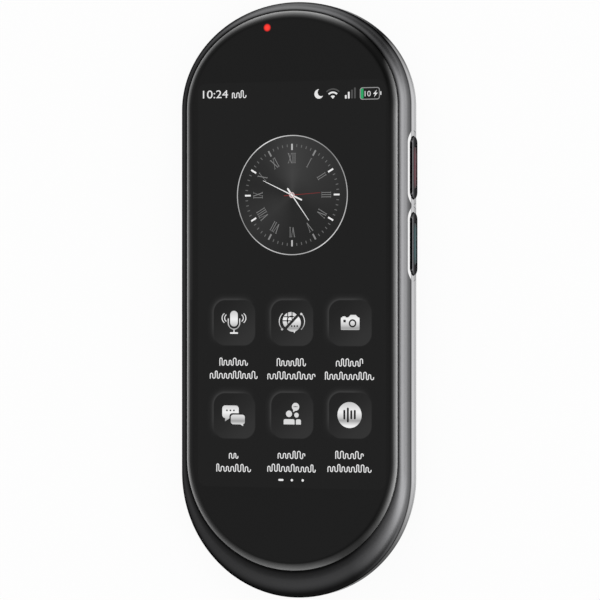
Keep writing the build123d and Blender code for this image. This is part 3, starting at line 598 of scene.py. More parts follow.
# ---------------- shell
# Front glass: upright side, soft falling edge, flat middle.
rows = [around(GLASS, GLASS_UNDERSIDE, 0.4), around(GLASS, GLASS_UNDERSIDE + 0.02)]
for step in range(GLASS_EDGE_STEPS + 1):
    share = step / GLASS_EDGE_STEPS
    rows.append(around(GLASS, GLASS_TOP - GLASS_EDGE_DROP * (1 - share) ** 2, GLASS_EDGE_WIDTH * share))
rows.append(around(GLASS, GLASS_TOP, GLASS_EDGE_WIDTH + 0.1))
piece(skin(rows), "front_glass", black_glass, "black_glass", "cover_glass")

# Front rim: one convex curve from the upright band to the lip round the glass.
rim_inner = shrink(GLASS, -(GLASS_GAP + RIM_LIP))
rows = [around(BODY, BAND_TOP, SEAM)]
for step in range(1, RIM_STEPS + 1):
    turn = RIM_TURN * step / RIM_STEPS
    share = (1 - cos(turn)) / (1 - cos(RIM_TURN))
    rise = (RIM_TOP - BAND_TOP) * sin(turn) / sin(RIM_TURN)
    rows.append(around(between(BODY, rim_inner, share), BAND_TOP + rise))
for z, inset in ((RIM_TOP, -GLASS_GAP - RIM_BREAK), (RIM_TOP - RIM_BREAK, -GLASS_GAP), (SHELF_Z, -GLASS_GAP),
                 (SHELF_Z, SHELF_WIDTH), (BAND_TOP, SHELF_WIDTH)):
    rows.append(around(GLASS, z, inset))
rim = carve(skin(rows, closed=True), [
    prism(stadium((y, POCKET_Z), *POCKET_SIZE), "X", POCKET_ROOT, KEY_REACH + 1) for y in TALK_KEYS.values()])
piece(rim, "rim", satin_rim, "satin_rim", "front_rim")

# Side band: polished ring with a fine groove, milled pockets for the talk keys and slots for the rest.
profile = [(SEAM, BAND_TOP), (0, BAND_TOP - SEAM), (0, GROOVE_Z + GROOVE_HALF),
           (GROOVE_DEPTH, GROOVE_Z + GROOVE_HALF / 2), (GROOVE_DEPTH, GROOVE_Z - GROOVE_HALF / 2),
           (0, GROOVE_Z - GROOVE_HALF)]
for angle in range(0, 91, 10):
    inwards, up = 1 - cos(radians(angle)), 1 - sin(radians(angle))
    profile.append((BAND_ROUND[0] * inwards, BAND_BOTTOM + BAND_ROUND[1] * up))
profile += [(BAND_WALL, BAND_BOTTOM), (BAND_WALL, BAND_TOP)]


def cap_slot(y):
    """Cuts the slot that a talk key's cap moves in."""
    outline = stadium((y, CAP_Z + CAP_ROOM_LIFT), TALK_LENGTH + CAP_ROOM, CAP_HEIGHT + CAP_ROOM)
    return prism(outline, "X", POCKET_ROOT - 0.5, KEY_REACH + 1)


slots = []
facets = bmesh.new()
for y in TALK_KEYS.values():
    outline = stadium((y, POCKET_Z), *POCKET_SIZE, steps=48)
    upper = [point for point in outline if point[1] >= FACET_Z[0]]
    slots += [prism(outline, "X", FACET_X[0], KEY_REACH + 1), prism(upper, "X", POCKET_ROOT, KEY_REACH + 1),
              cap_slot(y)]
    # The bright cut facet over the key leans a little, from the rim's curve out to the key.
    lean = (FACET_X[0] - FACET_X[1]) / (FACET_Z[1] - FACET_Z[0])
    leaning = [(FACET_X[1] + (FACET_Z[1] - v) * lean, u, v) for u, v in upper]
    skin([lay(upper, "X", POCKET_ROOT), leaning], mesh=facets)
for y, length, height in (*[(*key, KEY_HEIGHT) for key in LEFT_KEYS.values()], (TRAY_CENTRE, *TRAY_SIZE)):
    outline = stadium((y, KEY_Z), length + KEY_ROOM, height + KEY_ROOM)
    slots.append(prism(outline, "X", -KEY_REACH - 1, 0.5 - POCKET_ROOT))
mouth = stadium((0, USB_Z), USB_SHELL[0] - 0.3, USB_SHELL[1] - 0.3)
slots.append(prism(mouth, "Y", BODY.bottom - 1, USB_FRONT + 1))
for reach, columns in MIC_HOLES:
    slots += [prism(circle((x, KEY_Z), MIC_RADIUS, 24), "Y", *reach) for x in columns]
band = skin([around(BODY, z, inset) for inset, z in profile], closed=True)
piece(carve(band, slots), "band", polished_band, "polished_band", "side_band")
facets = carve(facets, [cap_slot(y) for y in TALK_KEYS.values()])
piece(facets, "key_facets", bright_cut, "polished_band")


# Rear cover: a rounded shell that runs out into the flat back.
def back_rows(height, steps, wall=0.0, floor=0.0):
    """Rows up one skin of the rounded back: a quarter ellipse from the flat back to the side."""
    rows = []
    for step in range(steps + 1):
        z = height * (1 - cos(pi / 2 * step / steps))
        rise = (height - z) / height
        inset = COVER_INSET + (BACK_INSET - COVER_INSET) * (1 - sqrt(max(0.0, 1 - rise * rise)))
        rows.append(around(BODY, z + floor, wall + inset))
    return rows


inside = back_rows(COVER_TOP - COVER_FLOOR, COVER_INNER_STEPS, COVER_WALL, COVER_FLOOR)
cover = skin([around(BODY, 0, BACK_INSET + 0.4)] + back_rows(COVER_TOP, COVER_STEPS) + inside[::-1])
holes = [circle(CAMERA_SPOT, CAMERA_RING_RADIUS + HOLE_ROOM, 96),
         circle(FLASH_SPOT, FLASH_RADIUS + HOLE_ROOM, 64)]
holes += [[(x - v, GRILLE_Y + u) for u, v in stadium((0, 0), *GRILLE_SLOT)] for x in GRILLE_COLUMNS]
cover = carve(cover, [prism(hole, "Z", -1, COVER_FLOOR + 0.5) for hole in holes])
piece(cover, "back_shell", soft_black, "rear_shell", "rear_cover")


# ---------------- keys, card tray and socket
def key_cap(centre, length, height, reach, crown, steps=9):
    """A crowned cap that stands through the band; centre is (y, z), and a negative reach is on the left."""
    side = 1 if reach > 0 else -1
    sizes = [(length, height, side * KEY_ROOT)]
    for step in range(steps + 1):
        turn = pi / 2 * step / steps
        inset, below = 2 * crown * (1 - cos(turn)), crown * (1 - sin(turn))
        sizes.append((length - inset, height - inset, reach - side * below))
    flat = 2 * crown + 0.1
    sizes.append((length - flat, height - flat, reach))
    return skin(slot_stack(centre, "X", sizes))


BAR_FINISH = {"upper_key": (red_inlay, "red_bar"), "lower_key": (teal_inlay, "teal_bar")}
for name, y in TALK_KEYS.items():
    recess = stadium((y, BAR_Z), BAR_SIZE[0] + 0.06, BAR_SIZE[1] + 0.06)
    cap = carve(key_cap((y, CAP_Z), TALK_LENGTH, CAP_HEIGHT, CAP_REACH, CAP_CROWN), [
        prism(recess, "X", CAP_REACH - BAR_DEPTH, CAP_REACH + 1)])
    piece(cap, name + "_cap", key_metal, "key_metal", name, body=name)
    bar = skin(slot_stack((y, BAR_Z), "X", [
        (BAR_SIZE[0] - 2 * inset, BAR_SIZE[1] - 2 * inset, CAP_REACH - below)
        for inset, below in ((0, BAR_DEPTH), (0, 0.1), (0.05, 0.05), (0.15, 0.03))]))
    piece(bar, name + "_inlay", *BAR_FINISH[name], name + "_bar", body=name, origin=(0, y, 0))
for name, (y, length) in LEFT_KEYS.items():
    cap = key_cap((y, KEY_Z), length, KEY_HEIGHT, -KEY_REACH, KEY_CROWN)
    piece(cap, name + "_cap", key_metal, "key_metal", name, body=name)

# Card tray: a polished front with its eject hole, and a plate with a seat and a window for the card.
front = skin(slot_stack((TRAY_CENTRE, KEY_Z), "X", [
    (TRAY_SIZE[0] - inset, TRAY_SIZE[1] - inset, TRAY_FRONT_X + below)
    for inset, below in ((0.3, 0), (0.2, 0), (0.06, 0.05), (0, 0.15), (0, TRAY_FRONT_DEPTH))]))
eject_hole = prism(circle((EJECT_Y, KEY_Z), EJECT_RADIUS, 32), "X", TRAY_FRONT_X - 1, TRAY_FRONT_X + 1)
plate = prism(rounded((TRAY_PLATE_X, TRAY_CENTRE), *TRAY_PLATE_HALF, 0.6), "Z", *TRAY_PLATE_Z)
window = rounded((CARD_X, TRAY_CENTRE), *CARD_WINDOW_HALF, CARD_CORNER)
seat = rounded((CARD_X, TRAY_CENTRE), *CARD_SEAT_HALF, CARD_CORNER)
plate = carve(plate, [prism(window, "Z", *CARD_CUT_Z), prism(seat, "Z", CARD_SEAT_Z, CARD_CUT_Z[1])])
tray = carve(front, [eject_hole])
plate = link_mesh(plate, "tray_plate").data
tray.from_mesh(plate)
bpy.data.meshes.remove(plate)
piece(tray, "card_tray_frame", tray_metal, "tray_metal", "sim_tray", body="card_tray")

# Charging socket: a drawn steel shell round a black tongue with gold contacts.
shell = skin(slot_stack((0, USB_Z), "Y", [
    (size[0] - inset, size[1] - inset, level) for size, inset, level in (
        (USB_SHELL, 0, USB_FRONT + 0.1), (USB_SHELL, 0.08, USB_FRONT + 0.02), (USB_SHELL, 0.2, USB_FRONT),
        (USB_MOUTH, -0.15, USB_FRONT), (USB_MOUTH, -0.03, USB_FRONT + 0.06), (USB_MOUTH, 0, USB_FRONT + 0.2),
        (USB_MOUTH, 0, USB_END), (USB_SHELL, 0, USB_END))]), closed=True)
piece(shell, "socket_shell", bare_steel, "shield_steel", "usb_c_socket")
tongue = prism(rounded((0, USB_Z), *TONGUE_HALF, 0.15), "Y", USB_FRONT + 0.9, USB_END - USB_BLOCK)
prism(stadium((0, USB_Z), *USB_MOUTH), "Y", USB_END - USB_BLOCK, USB_END, mesh=tongue)
piece(tongue, "socket_tongue", black_plastic, "component_body")
contacts = bmesh.new()
for x in CONTACT_COLUMNS:
    for z in (USB_Z - TONGUE_HALF[1], USB_Z + TONGUE_HALF[1]):
        prism(rounded((x, z), 0.13, 0.02, 0.01, 2), "Y", USB_FRONT + 1.1, USB_FRONT + 4.2, mesh=contacts)
piece(contacts, "socket_contacts", gold_can, "mic_can")

# Rear camera and flash.
OUTER, BORE = CAMERA_RING_RADIUS, CAMERA_GLASS_RADIUS
ring = lathe([(OUTER, 1.2), (OUTER, 0.12), (OUTER - 0.08, 0.03), (OUTER - 0.2, 0), (BORE + 0.25, 0),
              (BORE + 0.06, 0.06), (BORE, 0.2), (BORE, 0.9), (BORE - 0.6, 0.9), (BORE - 0.6, 1.2)],
             CAMERA_SPOT, closed=True)
piece(ring, "camera_ring", dark_trim, "dark_trim", "camera_trim_ring")
window = lathe([(BORE - 0.02, 0.9), (BORE - 0.02, 0.24), (BORE - 0.07, 0.2), (2.7, 0.2), (2.6, 0.26),
                (2.35, 0.26), (2.25, 0.42), (1.95, 0.42), (1.9, 0.42)], CAMERA_SPOT)
piece(window, "camera_glass", lens_glass, "lens_window", "camera_window")
dome = [(LENS_RADIUS, 0.46)]
for angle in range(0, 90, 10):
    dome.append((LENS_RADIUS * cos(radians(angle)), 0.42 - 0.16 * sin(radians(angle))))
piece(lathe(dome, CAMERA_SPOT, steps=64), "camera_lens", lens_coating, "lens_window")
fresnel = [(FLASH_RADIUS, COVER_FLOOR), (FLASH_RADIUS, 0.06), (FLASH_RADIUS - 0.08, 0)]
for k in range(5):
    radius = FLASH_RADIUS - 0.12 - 0.3 * k
    fresnel += [(radius - 0.04, 0), (radius - 0.08, 0.1), (radius - 0.3, 0.02)]
piece(lathe(fresnel, FLASH_SPOT, steps=64), "flash_window", frosted, "flash_lens", "flash_lens")


# ---------------- screen picture
class Shapes:
    """Collects flat plates, in millimetres, and turns them into one thin piece on the glass."""

    def __init__(self, level=0, origin=(0.0, 0.0)):
        self.mesh = bmesh.new()
        self.low = GLASS_TOP + INK * level
        self.high = self.low + INK
        self.origin = origin

    def shift(self, points):
        return [(self.origin[0] + x, self.origin[1] + y) for x, y in points]

    def plate(self, loop):
        """A plate inside a closed loop of points."""
        prism(self.shift(loop), "Z", self.low, self.high, mesh=self.mesh)
        return self

    def strip(self, outer, inner):
        """A plate between two matching closed loops."""
        outer, inner = self.shift(outer), self.shift(inner)
        edges = ((outer, self.low), (outer, self.high), (inner, self.high), (inner, self.low))
        skin([lay(loop, "Z", z) for loop, z in edges], closed=True, mesh=self.mesh)
        return self

    def disc(self, centre, radius, steps):
        return self.plate(circle(centre, radius, steps))

    def ring(self, centre, outer, inner, steps):
        return self.strip(circle(centre, outer, steps), circle(centre, inner, steps))

    def stroke(self, points, width):
        """A bent stroke along a line of points."""
        rows = []
        for k, (x, y) in enumerate(self.shift(points)):
            before, after = points[max(k - 1, 0)], points[min(k + 1, len(points) - 1)]
            side = Vector((before[1] - after[1], after[0] - before[0])).normalized() * width / 2
            left, right = (x + side.x, y + side.y), (x - side.x, y - side.y)
            rows.append([(*left, self.high), (*left, self.low), (*right, self.low), (*right, self.high)])
        skin(rows, mesh=self.mesh)

    def arc(self, centre, radius, width, start, sweep, steps=24):
        """A stroke along an arc."""
        outer = circle(centre, radius + width / 2, steps, start, sweep)
        self.plate(outer + circle(centre, radius - width / 2, steps, start, sweep)[::-1])

    def bar(self, start, end, width, end_width=None):
        """A straight stroke, square at its ends."""
        s, e = Vector(start), Vector(end)
        side = Vector((s.y - e.y, e.x - s.x)).normalized()
        a, b = side * width / 2, side * (end_width or width) / 2
        self.plate([tuple(s - a), tuple(e - b), tuple(e + b), tuple(s + a)])

    def pill(self, start, end, width, steps=8):
        """A stroke with round ends."""
        heading = degrees(atan2(end[1] - start[1], end[0] - start[0]))
        self.plate(circle(end, width / 2, steps, heading - 90, 180)
                   + circle(start, width / 2, steps, heading + 90, 180))

    def done(self, name, material):
        """Makes the piece, which rides on the housing, its own origin at the drawing's origin."""
        piece(self.mesh, name, material, "display_glass", origin=(*self.origin, GLASS_TOP))


SCREEN_GREY = 0.0017
ink_white = lit("ink_white", 0.86)
ink_soft_white = lit("ink_soft_white", 0.7)
ink_text = lit("ink_text", 0.8)
ink_soft = lit("ink_soft", 0.3)
ink_dim = lit("ink_dim", 0.07)
ink_black = lit("ink_black", 0.006)
display = rounded(DISPLAY_CENTRE, DISPLAY_SIZE[0] / 2, DISPLAY_SIZE[1] / 2, 2.0)
Shapes().plate(display).done("screen_field", lit("screen_grey", SCREEN_GREY))


def led_glow():
    """The red indicator: brightest in the middle."""
    finish = Finish("led_glow")
    x, y, _ = finish.place()
    return finish.glow(finish.over(finish.reach(x, y), 0, LED_GLOW_RADIUS, [
        (0, (1, 0.06, 0.04)), (0.6, (1, 0.03, 0.02)), (0.85, (0.45, 0.01, 0.008)),
        (1, (0.02, 0.003, 0.003))]))


Shapes(0, LED_SPOT).disc((0, 0), LED_GLOW_RADIUS, 40).done("indicator_light", led_glow())


# Clock: angles are in degrees clockwise from the top.
def dial_face():
    """The clock's dark face, with a soft sheen that sweeps round its centre."""
    finish = Finish("dial_face")
    x, y, _ = finish.place()
    sheen = finish.sweep(x, y, [
        (-180, 0.01), (-150, 0.018), (-128, 0.0245), (-105, 0.02), (-75, 0.011), (-45, 0.017), (-22, 0.03),
        (0, 0.043), (25, 0.032), (60, 0.024), (95, 0.018), (125, 0.0105), (150, 0.009), (180, 0.01)])
    fade = finish.over(finish.reach(x, y), 0, CLOCK_RADIUS, [(0, 0.8), (0.35, 1), (0.8, 0.85), (1, 0.7)])
    return finish.glow(finish.shade(sheen, fade))


def ring_metal():
    """The clock's rim: bright at the upper left and lower right, as polished metal."""
    finish = Finish("ring_metal")
    x, y, _ = finish.place()
    return finish.glow(finish.sweep(x, y, [
        (-180, 0.45), (-152, 0.62), (-120, 0.25), (-90, 0.48), (-50, 0.5), (-28, 0.85), (-10, 0.6),
        (25, 0.34), (45, 0.23), (80, 0.4), (110, 0.52), (148, 0.75), (165, 0.42), (180, 0.45)]))


def on_dial(angle, radius, across=0.0):
    """A point on the clock, at an angle, a radius and an offset across it."""
    a = radians(angle)
    return radius * sin(a) + across * cos(a), radius * cos(a) - across * sin(a)


Shapes(1, CLOCK_CENTRE).disc((0, 0), CLOCK_RADIUS - 0.1, 128).done("clock_face", dial_face())
bezel = Shapes(2, CLOCK_CENTRE).ring((0, 0), CLOCK_RADIUS, CLOCK_RADIUS - 0.2, 160)
bezel.done("clock_ring", ring_metal())

HOUR_MARK = (9.95, 11.32, 0.37)  # inner radius, outer radius and width
MINUTE_MARK = (10.65, 11.25, 0.19)
MEDIUM_HOURS = (0, 6)
WEAK_HOURS = (1, 5, 7, 11)
bright, medium, weak, fine = (Shapes(2, CLOCK_CENTRE) for _ in range(4))
for minute in range(60):
    hour, between_hours = divmod(minute, 5)
    shapes = weak if hour in WEAK_HOURS else medium if hour in MEDIUM_HOURS else bright
    inner, outer, width = HOUR_MARK
    if between_hours:
        shapes, (inner, outer, width) = fine, MINUTE_MARK
    shapes.bar(on_dial(minute * 6, inner), on_dial(minute * 6, outer), width)
bright.done("clock_hour_marks", ink_white)
medium.done("clock_quarter_marks", lit("quarter_grey", 0.5))
weak.done("clock_dim_hour_marks", lit("dim_hour_grey", 0.24))
fine.done("clock_minute_marks", lit("minute_grey", 0.13))

NUMERALS = ("XII", "I", "II", "III", "IV", "V", "VI", "VII", "VIII", "IX", "X", "XI")
FOOT, HEAD = 7.1, 9.25  # radii between which the numerals stand
GLYPH_WIDTH = {"I": 0.48, "V": 0.9, "X": 0.95}
THICK, THIN = 0.17, 0.09


def numeral(shapes, angle, text):
    """One Roman numeral of the dial, its feet towards the centre, with thick and thin strokes."""
    across = -sum(GLYPH_WIDTH[glyph] for glyph in text) / 2
    for glyph in text:
        width = GLYPH_WIDTH[glyph]
        left, right, middle = across + 0.1, across + width - 0.1, across + width / 2
        strokes = {"I": [(middle, FOOT, middle, HEAD, THICK * 0.8)],
                   "V": [(left, HEAD, middle, FOOT, THICK), (right, HEAD, middle, FOOT, THIN)],
                   "X": [(left, HEAD, right, FOOT, THICK), (left, FOOT, right, HEAD, THIN)]}[glyph]
        for x0, r0, x1, r1, stroke in strokes:
            shapes.bar(on_dial(angle, r0, x0), on_dial(angle, r1, x1), stroke)
            for x, r in ((x0, r0), (x1, r1)):
                if glyph != "V" or r == HEAD:
                    shapes.bar(on_dial(angle, r, x - 0.2), on_dial(angle, r, x + 0.2), THIN * 0.8)
        across += width


numerals = Shapes(2, CLOCK_CENTRE)
for hour, text in enumerate(NUMERALS):
    numeral(numerals, hour * 30, text)
numerals.done("clock_numerals", lit("numeral_grey", 0.2))

# The hour and the minute hand: angle, tail, its width, length and width where the blade starts.
HANDS = ((144.3, 1.7, 0.38, 6.95, 0.26), (295.2, 2.5, 0.33, 7.65, 0.25))
hands = Shapes(4, CLOCK_CENTRE)
for angle, tail, tail_width, length, width in HANDS:
    hands.pill(on_dial(angle, -tail), on_dial(angle, 0.4), tail_width)
    hands.bar(on_dial(angle, 0), on_dial(angle, length), width, 0.1)
hands.done("clock_hands", ink_white)
second = Shapes(3, CLOCK_CENTRE)
second.bar(on_dial(86, -1.95), on_dial(86, 6.8), 0.2, 0.1)
second.done("clock_second_hand", lit("ink_red", (0.19, 0.02, 0.02)))
hub = Shapes(5, CLOCK_CENTRE).ring((0, 0), 0.64, 0.36, 24)
hub.done("clock_hub", lit("ink_rose", (0.62, 0.46, 0.46)))


def tile_glow():
    """A raised tile of the picture: lighter below, with a pale halo over its upper left edge."""
    finish = Finish("tile_glow")
    x, y, _ = finish.place()
    over = []
    for place in (x, y):
        distance = finish.calc("SUBTRACT", finish.calc("ABSOLUTE", place), (TILE_HALF - TILE_CORNER) * MM)
        over.append(finish.calc("MAXIMUM", distance, 0))
    outside = finish.calc("SUBTRACT", finish.reach(*over), TILE_CORNER * MM)
    inside = finish.over(outside, -0.12, 0.12, [(0, 1), (1, 0)])
    fill = finish.over(finish.calc("MULTIPLY_ADD", x, -0.8, y), -9, 9, [
        (0, 0.021), (0.22, 0.0185), (0.5, 0.01), (0.78, 0.0042), (1, 0.003)])
    halo = finish.over(outside, -0.1, TILE_HALO, [
        (0, 0), (0.1, 1), (0.2, 0.8), (0.3, 0.45), (0.42, 0.25), (0.6, 0.1), (1, 0)])
    facing = finish.over(finish.calc("SUBTRACT", y, x), -5, 5, [
        (0, 0), (0.45, 0.0012), (0.7, 0.012), (0.95, 0.029), (1, 0.03)])
    body = finish.blend(grey(SCREEN_GREY), fill, inside)
    return finish.glow(finish.blend(body, finish.shade(halo, facing), kind="ADD"))


def silver():
    """The pale metal look of the icons: bright, darker towards the lower middle."""
    finish = Finish("icon_silver")
    return finish.glow(finish.over(finish.place()[1], -3.2, 3.2, [
        (0, 0.8), (0.12, 0.86), (0.3, 0.34), (0.42, 0.6), (0.6, 0.86), (0.8, 0.66), (1, 0.5)]))


# Icons: each draws its light shapes and the dark ones on them, about the icon's middle.
def microphone(light, dark):
    light.pill((0.1, -0.05), (0.1, 1.6), 1.85, 14)
    light.arc((0.1, -0.16), 1.4, 0.22, 180, 180)
    for x in (-1.3, 1.5):
        light.bar((x, -0.16), (x, 0.8), 0.22)
    light.bar((0.1, -1.5), (0.1, -2.4), 0.3)
    light.pill((-0.7, -2.42), (0.9, -2.42), 0.36)
    for side, turn in ((-1, 180), (1, 0)):
        light.arc((0.1 + side * 1.42, 0.9), 0.85, 0.2, turn - 60, 120, 14)
        light.arc((0.1 + side * 1.7, 0.9), 1.2, 0.2, turn - 58, 116, 14)


def globe(light, dark):
    """A ball and a speech bubble that share one disc, parted along a diagonal, between two arcs."""
    light.plate(circle((-0.1, 0.34), 1.95, 30, 45, 180))
    light.plate(circle((0.34, -0.1), 1.95, 30, 225, 180))
    light.plate([(0.3, -1.8), (1.2, -1.7), (0.75, -2.35)])
    for side, turn in ((-1, 180), (1, 0)):
        light.arc((0.15 + side * 0.73, 0.2), 2.3, 0.17, turn - 50, 100)
    for spot in ((2.4, 1.85), (-2.2, -1.5)):
        light.disc(spot, 0.27, 14)
    dark.arc((0.1, 0.3), 1.1, 0.2, 75, 120)
    for start, end in (((-2.05, 0.35), (-0.1, 0.35)), ((-1.75, 1.25), (0.75, 1.25)),
                       ((-0.85, 2.15), (-0.85, -0.4)), ((0.2, 2.25), (0.2, 0.65))):
        dark.bar(start, end, 0.22)
    for x in (0.12, 0.78, 1.44):
        dark.disc((x, -0.82), 0.2, 12)


def camera_icon(light, dark):
    light.plate(rounded((0.18, -0.28), 2.2, 1.37, 0.2))
    light.plate([(-0.3, 1.05), (2.1, 1.05), (1.5, 1.65), (0.3, 1.65)])
    light.pill((-1.5, 1.15), (-1.05, 1.15), 0.35)
    dark.ring((0.75, -0.2), 0.9, 0.56, 32)
    dark.plate(rounded((-1.13, 0.3), 0.29, 0.29, 0.1))


def two_bubbles(light, dark):
    """Two speech bubbles; the dark shapes leave a gap round the near one."""
    light.plate(rounded((-0.75, 0.75), 2.0, 1.4, 0.7))
    light.plate([(-2.0, -0.3), (-0.8, -0.6), (-2.1, -1.4)])
    dark.plate(rounded((0.95, -0.85), 1.95, 1.3, 0.75))
    dark.plate([(2.2, -1.4), (1.2, -2.0), (2.5, -2.6)])
    for x in (-1.6, -0.75, 0.1):
        dark.disc((x, 1.05), 0.2, 14)


def people(light, dark):
    light.disc((-0.57, 0.26), 0.72, 28)
    light.disc((1.22, 0.0), 0.54, 24)
    for x, half in ((-0.55, 1.3), (1.68, 0.6)):
        corners = ((half - 0.38, 0), (0.38 - half, 90))
        shoulders = [p for side, turn in corners for p in circle((x + side, -1.3), 0.38, 8, turn, 90)]
        light.plate(shoulders + [(x - half, -2.08), (x + half, -2.08)])
    light.disc((1.0, 1.82), 0.88, 28)
    light.plate([(0.45, 1.25), (1.05, 1.0), (0.4, 0.62)])
    for x in (0.66, 1.0, 1.34):
        dark.disc((x, 1.85), 0.13, 10)


def recorder(light, dark):
    light.disc((0.03, -0.04), 2.85, 56)
    for x, top, low in ((-1.19, 1.07, -1.0), (-0.36, 1.57, -1.62), (0.45, 0.98, -0.93), (1.28, 1.07, -0.93)):
        dark.pill((x, low + 0.19), (x, top - 0.19), 0.46)


ICONS = (("microphone", microphone), ("globe", globe), ("camera", camera_icon),
         ("bubbles", two_bubbles), ("people", people), ("recorder", recorder))
LABEL_DROP = 9.55  # from a tile's centre to the foot of its first line
LINE_PITCH = 2.92
LETTER_HEIGHT = 1.3
TALL_HEIGHT = 1.8
PEN_WIDTH = 0.21
LABEL_WIDTHS = ((6.9, 11.6), (7.0, 11.5), (6.4, 11.6), (2.3, 8.4), (6.6, 11.6), (6.7, 10.4))
LOOP_WIDTHS = (0.58, 0.5, 0.62, 0.66, 0.5, 0.56, 0.7)
TALL_LOOPS = (1, 0, 0, 1, 0, 0, 0, 1)  # which upper loops of a line reach the tall height


def pen_line(shapes, centre, foot, width, phase):
    """A looping pen line that stands for a word, with no lettering."""
    steps = []
    while sum(steps) < width - 0.3:
        steps.append(LOOP_WIDTHS[(len(steps) + phase) % len(LOOP_WIDTHS)])
    scale = (width - PEN_WIDTH) / sum(steps)
    x = centre - (width - PEN_WIDTH) / 2
    points = [(x, foot)]
    for k, step in enumerate(steps):
        half = step * scale / 2
        upper = k % 2 == 0
        peak = TALL_HEIGHT if TALL_LOOPS[(k // 2 + phase) % len(TALL_LOOPS)] else LETTER_HEIGHT
        level = foot + (peak - half - PEN_WIDTH / 2 if upper else half + PEN_WIDTH / 2)
        points += circle((x + half, level), half, 8, 180, -180 if upper else 180)
        x += step * scale
    shapes.stroke(points + [(x, foot + LETTER_HEIGHT / 2)], PEN_WIDTH)


tile_material = tile_glow()
icon_silver = silver()
labels = Shapes(1)
for index, (name, draw) in enumerate(ICONS):
    column, row = TILE_SPOTS[index]
    half = TILE_HALF + TILE_HALO
    tile = Shapes(1, (column, row)).plate(rounded((0, 0), half, half, TILE_CORNER + TILE_HALO, 12))
    tile.done("tile_" + name, tile_material)
    spot = (column + ICON_SHIFT[0], row + ICON_SHIFT[1])
    light, dark = Shapes(2, spot), Shapes(3, spot)
    draw(light, dark)
    light.done("icon_" + name, ink_soft_white if name == "people" else icon_silver)
    if dark.mesh.faces:
        dark.done("icon_" + name + "_detail", ink_black)
    if name == "bubbles":
        near = Shapes(4, spot).plate(rounded((1.05, -0.95), 1.7, 1.08, 0.6))
        near.plate([(1.4, -1.9), (2.3, -1.7), (2.35, -2.4)])
        near.done("icon_bubbles_near", icon_silver)
    for line, width in enumerate(LABEL_WIDTHS[index]):
        pen_line(labels, spot[0], row - LABEL_DROP - LINE_PITCH * line, width, index * 3 + line * 2)
labels.done("label_lines", ink_text)

marks = Shapes(1)
marks.pill((-2.52, MARKS_Y), (-1.72, MARKS_Y), 0.44)
for x in (0.5, 3.1):
    marks.disc((x, MARKS_Y), 0.28, 16)
marks.done("page_marks", ink_white)


# Status line: plain digits, a pen line, a crescent, a radio fan, four bars and a battery.
def digits(name, text, corner, size, material):
    """A row of plain digits that fills a box, given by its lower left corner, width and height."""
    curve = bpy.data.curves.new(name, "FONT")
    curve.body = text
    curve.extrude = 0.1
    made = link(name, curve)
    bpy.context.view_layer.update()
    data = bpy.data.meshes.new_from_object(made.evaluated_get(bpy.context.evaluated_depsgraph_get()))
    bpy.data.curves.remove(curve)
    mesh = bmesh.new()
    mesh.from_mesh(data)
    bpy.data.meshes.remove(data)
    bmesh.ops.remove_doubles(mesh, verts=mesh.verts, dist=1e-5)
    places = [vertex.co for vertex in mesh.verts]
    for k, (start, length) in enumerate(zip((*corner, GLASS_TOP + INK), (*size, INK))):
        low, high = min(place[k] for place in places), max(place[k] for place in places)
        for place in places:
            place[k] = (start + (place[k] - low) / (high - low) * length) * MM
    piece(mesh, name, material, "display_glass")


def crescent(centre, radius, away, bite):
    """Points of a crescent: a disc less a smaller disc whose middle lies at the offset away."""
    far = Vector(away).length
    lean = degrees(atan2(away[1], away[0]))
    along = (radius ** 2 - bite ** 2 + far ** 2) / (2 * far)
    across = sqrt(radius ** 2 - along ** 2)
    outer, inner = (degrees(atan2(across, reach)) for reach in (along, along - far))
    bitten = (centre[0] + away[0], centre[1] + away[1])
    return (circle(centre, radius, 32, lean + outer, 359.9 - 2 * outer)
            + circle(bitten, bite, 24, lean + inner, 359.9 - 2 * inner)[::-1][1:-1])


digits("time_digits", "10:24", (-21.03, TIME_FOOT), (6.1, 1.76), ink_text)
digits("battery_digits", "10", (17.8, BATTERY_CENTRE[1] - 0.65), (1.4, 1.2), ink_soft_white)
status, faint = Shapes(1, (0, STATUS_Y)), Shapes(1, (0, STATUS_Y))
pen_line(status, -12.2, TIME_FOOT - STATUS_Y - 0.12, 3.5, 1)
status.plate(crescent((6.95, 0), 1.05, (0.55, 0.35), 0.85))
FAN = (10.27, -1.15)
status.plate([FAN] + circle(FAN, 0.75, 12, 48, 84))
status.arc(FAN, 1.42, 0.38, 46, 88)
faint.arc(FAN, 2.15, 0.3, 46, 88)
for x, top, shapes in ((13.34, -0.4, status), (14.04, 0.3, status), (14.79, 0.75, faint),
                       (15.49, 1.2, faint)):
    shapes.plate([(x - 0.2, FAN[1]), (x + 0.2, FAN[1]), (x + 0.2, top), (x - 0.2, top)])
status.done("status_marks", ink_text)
faint.done("status_faint_marks", ink_dim)
bolt, case, charge = (Shapes(1, BATTERY_CENTRE) for _ in range(3))
bolt.plate([(1.65, 0.75), (0.75, -0.15), (1.25, -0.15), (1.0, -0.85), (1.85, 0.1), (1.35, 0.1)])
bolt.plate(rounded((2.58, 0), 0.12, 0.4, 0.08, 3))
bolt.done("battery_bolt", ink_text)
case.strip(rounded((0, 0), 2.34, 1.35, 0.6), rounded((0, 0), 2.16, 1.17, 0.45))
case.done("battery_outline", ink_soft)
charge.plate([(-2.12, 1.1), (-2.12, -1.1), (-1.5, -1.1), (-1.5, 1.1)])
charge.done("battery_charge", lit("ink_green", (0.02, 0.36, 0.12)))

# ---------------- camera
CAMERA_TURN = 22.7  # degrees towards the talk keys
LENS = 200.0
FRAME_HEIGHT = 133.2  # millimetres of the object plane that fill the picture's height
AIM = (0.56, -0.03, 7.0)

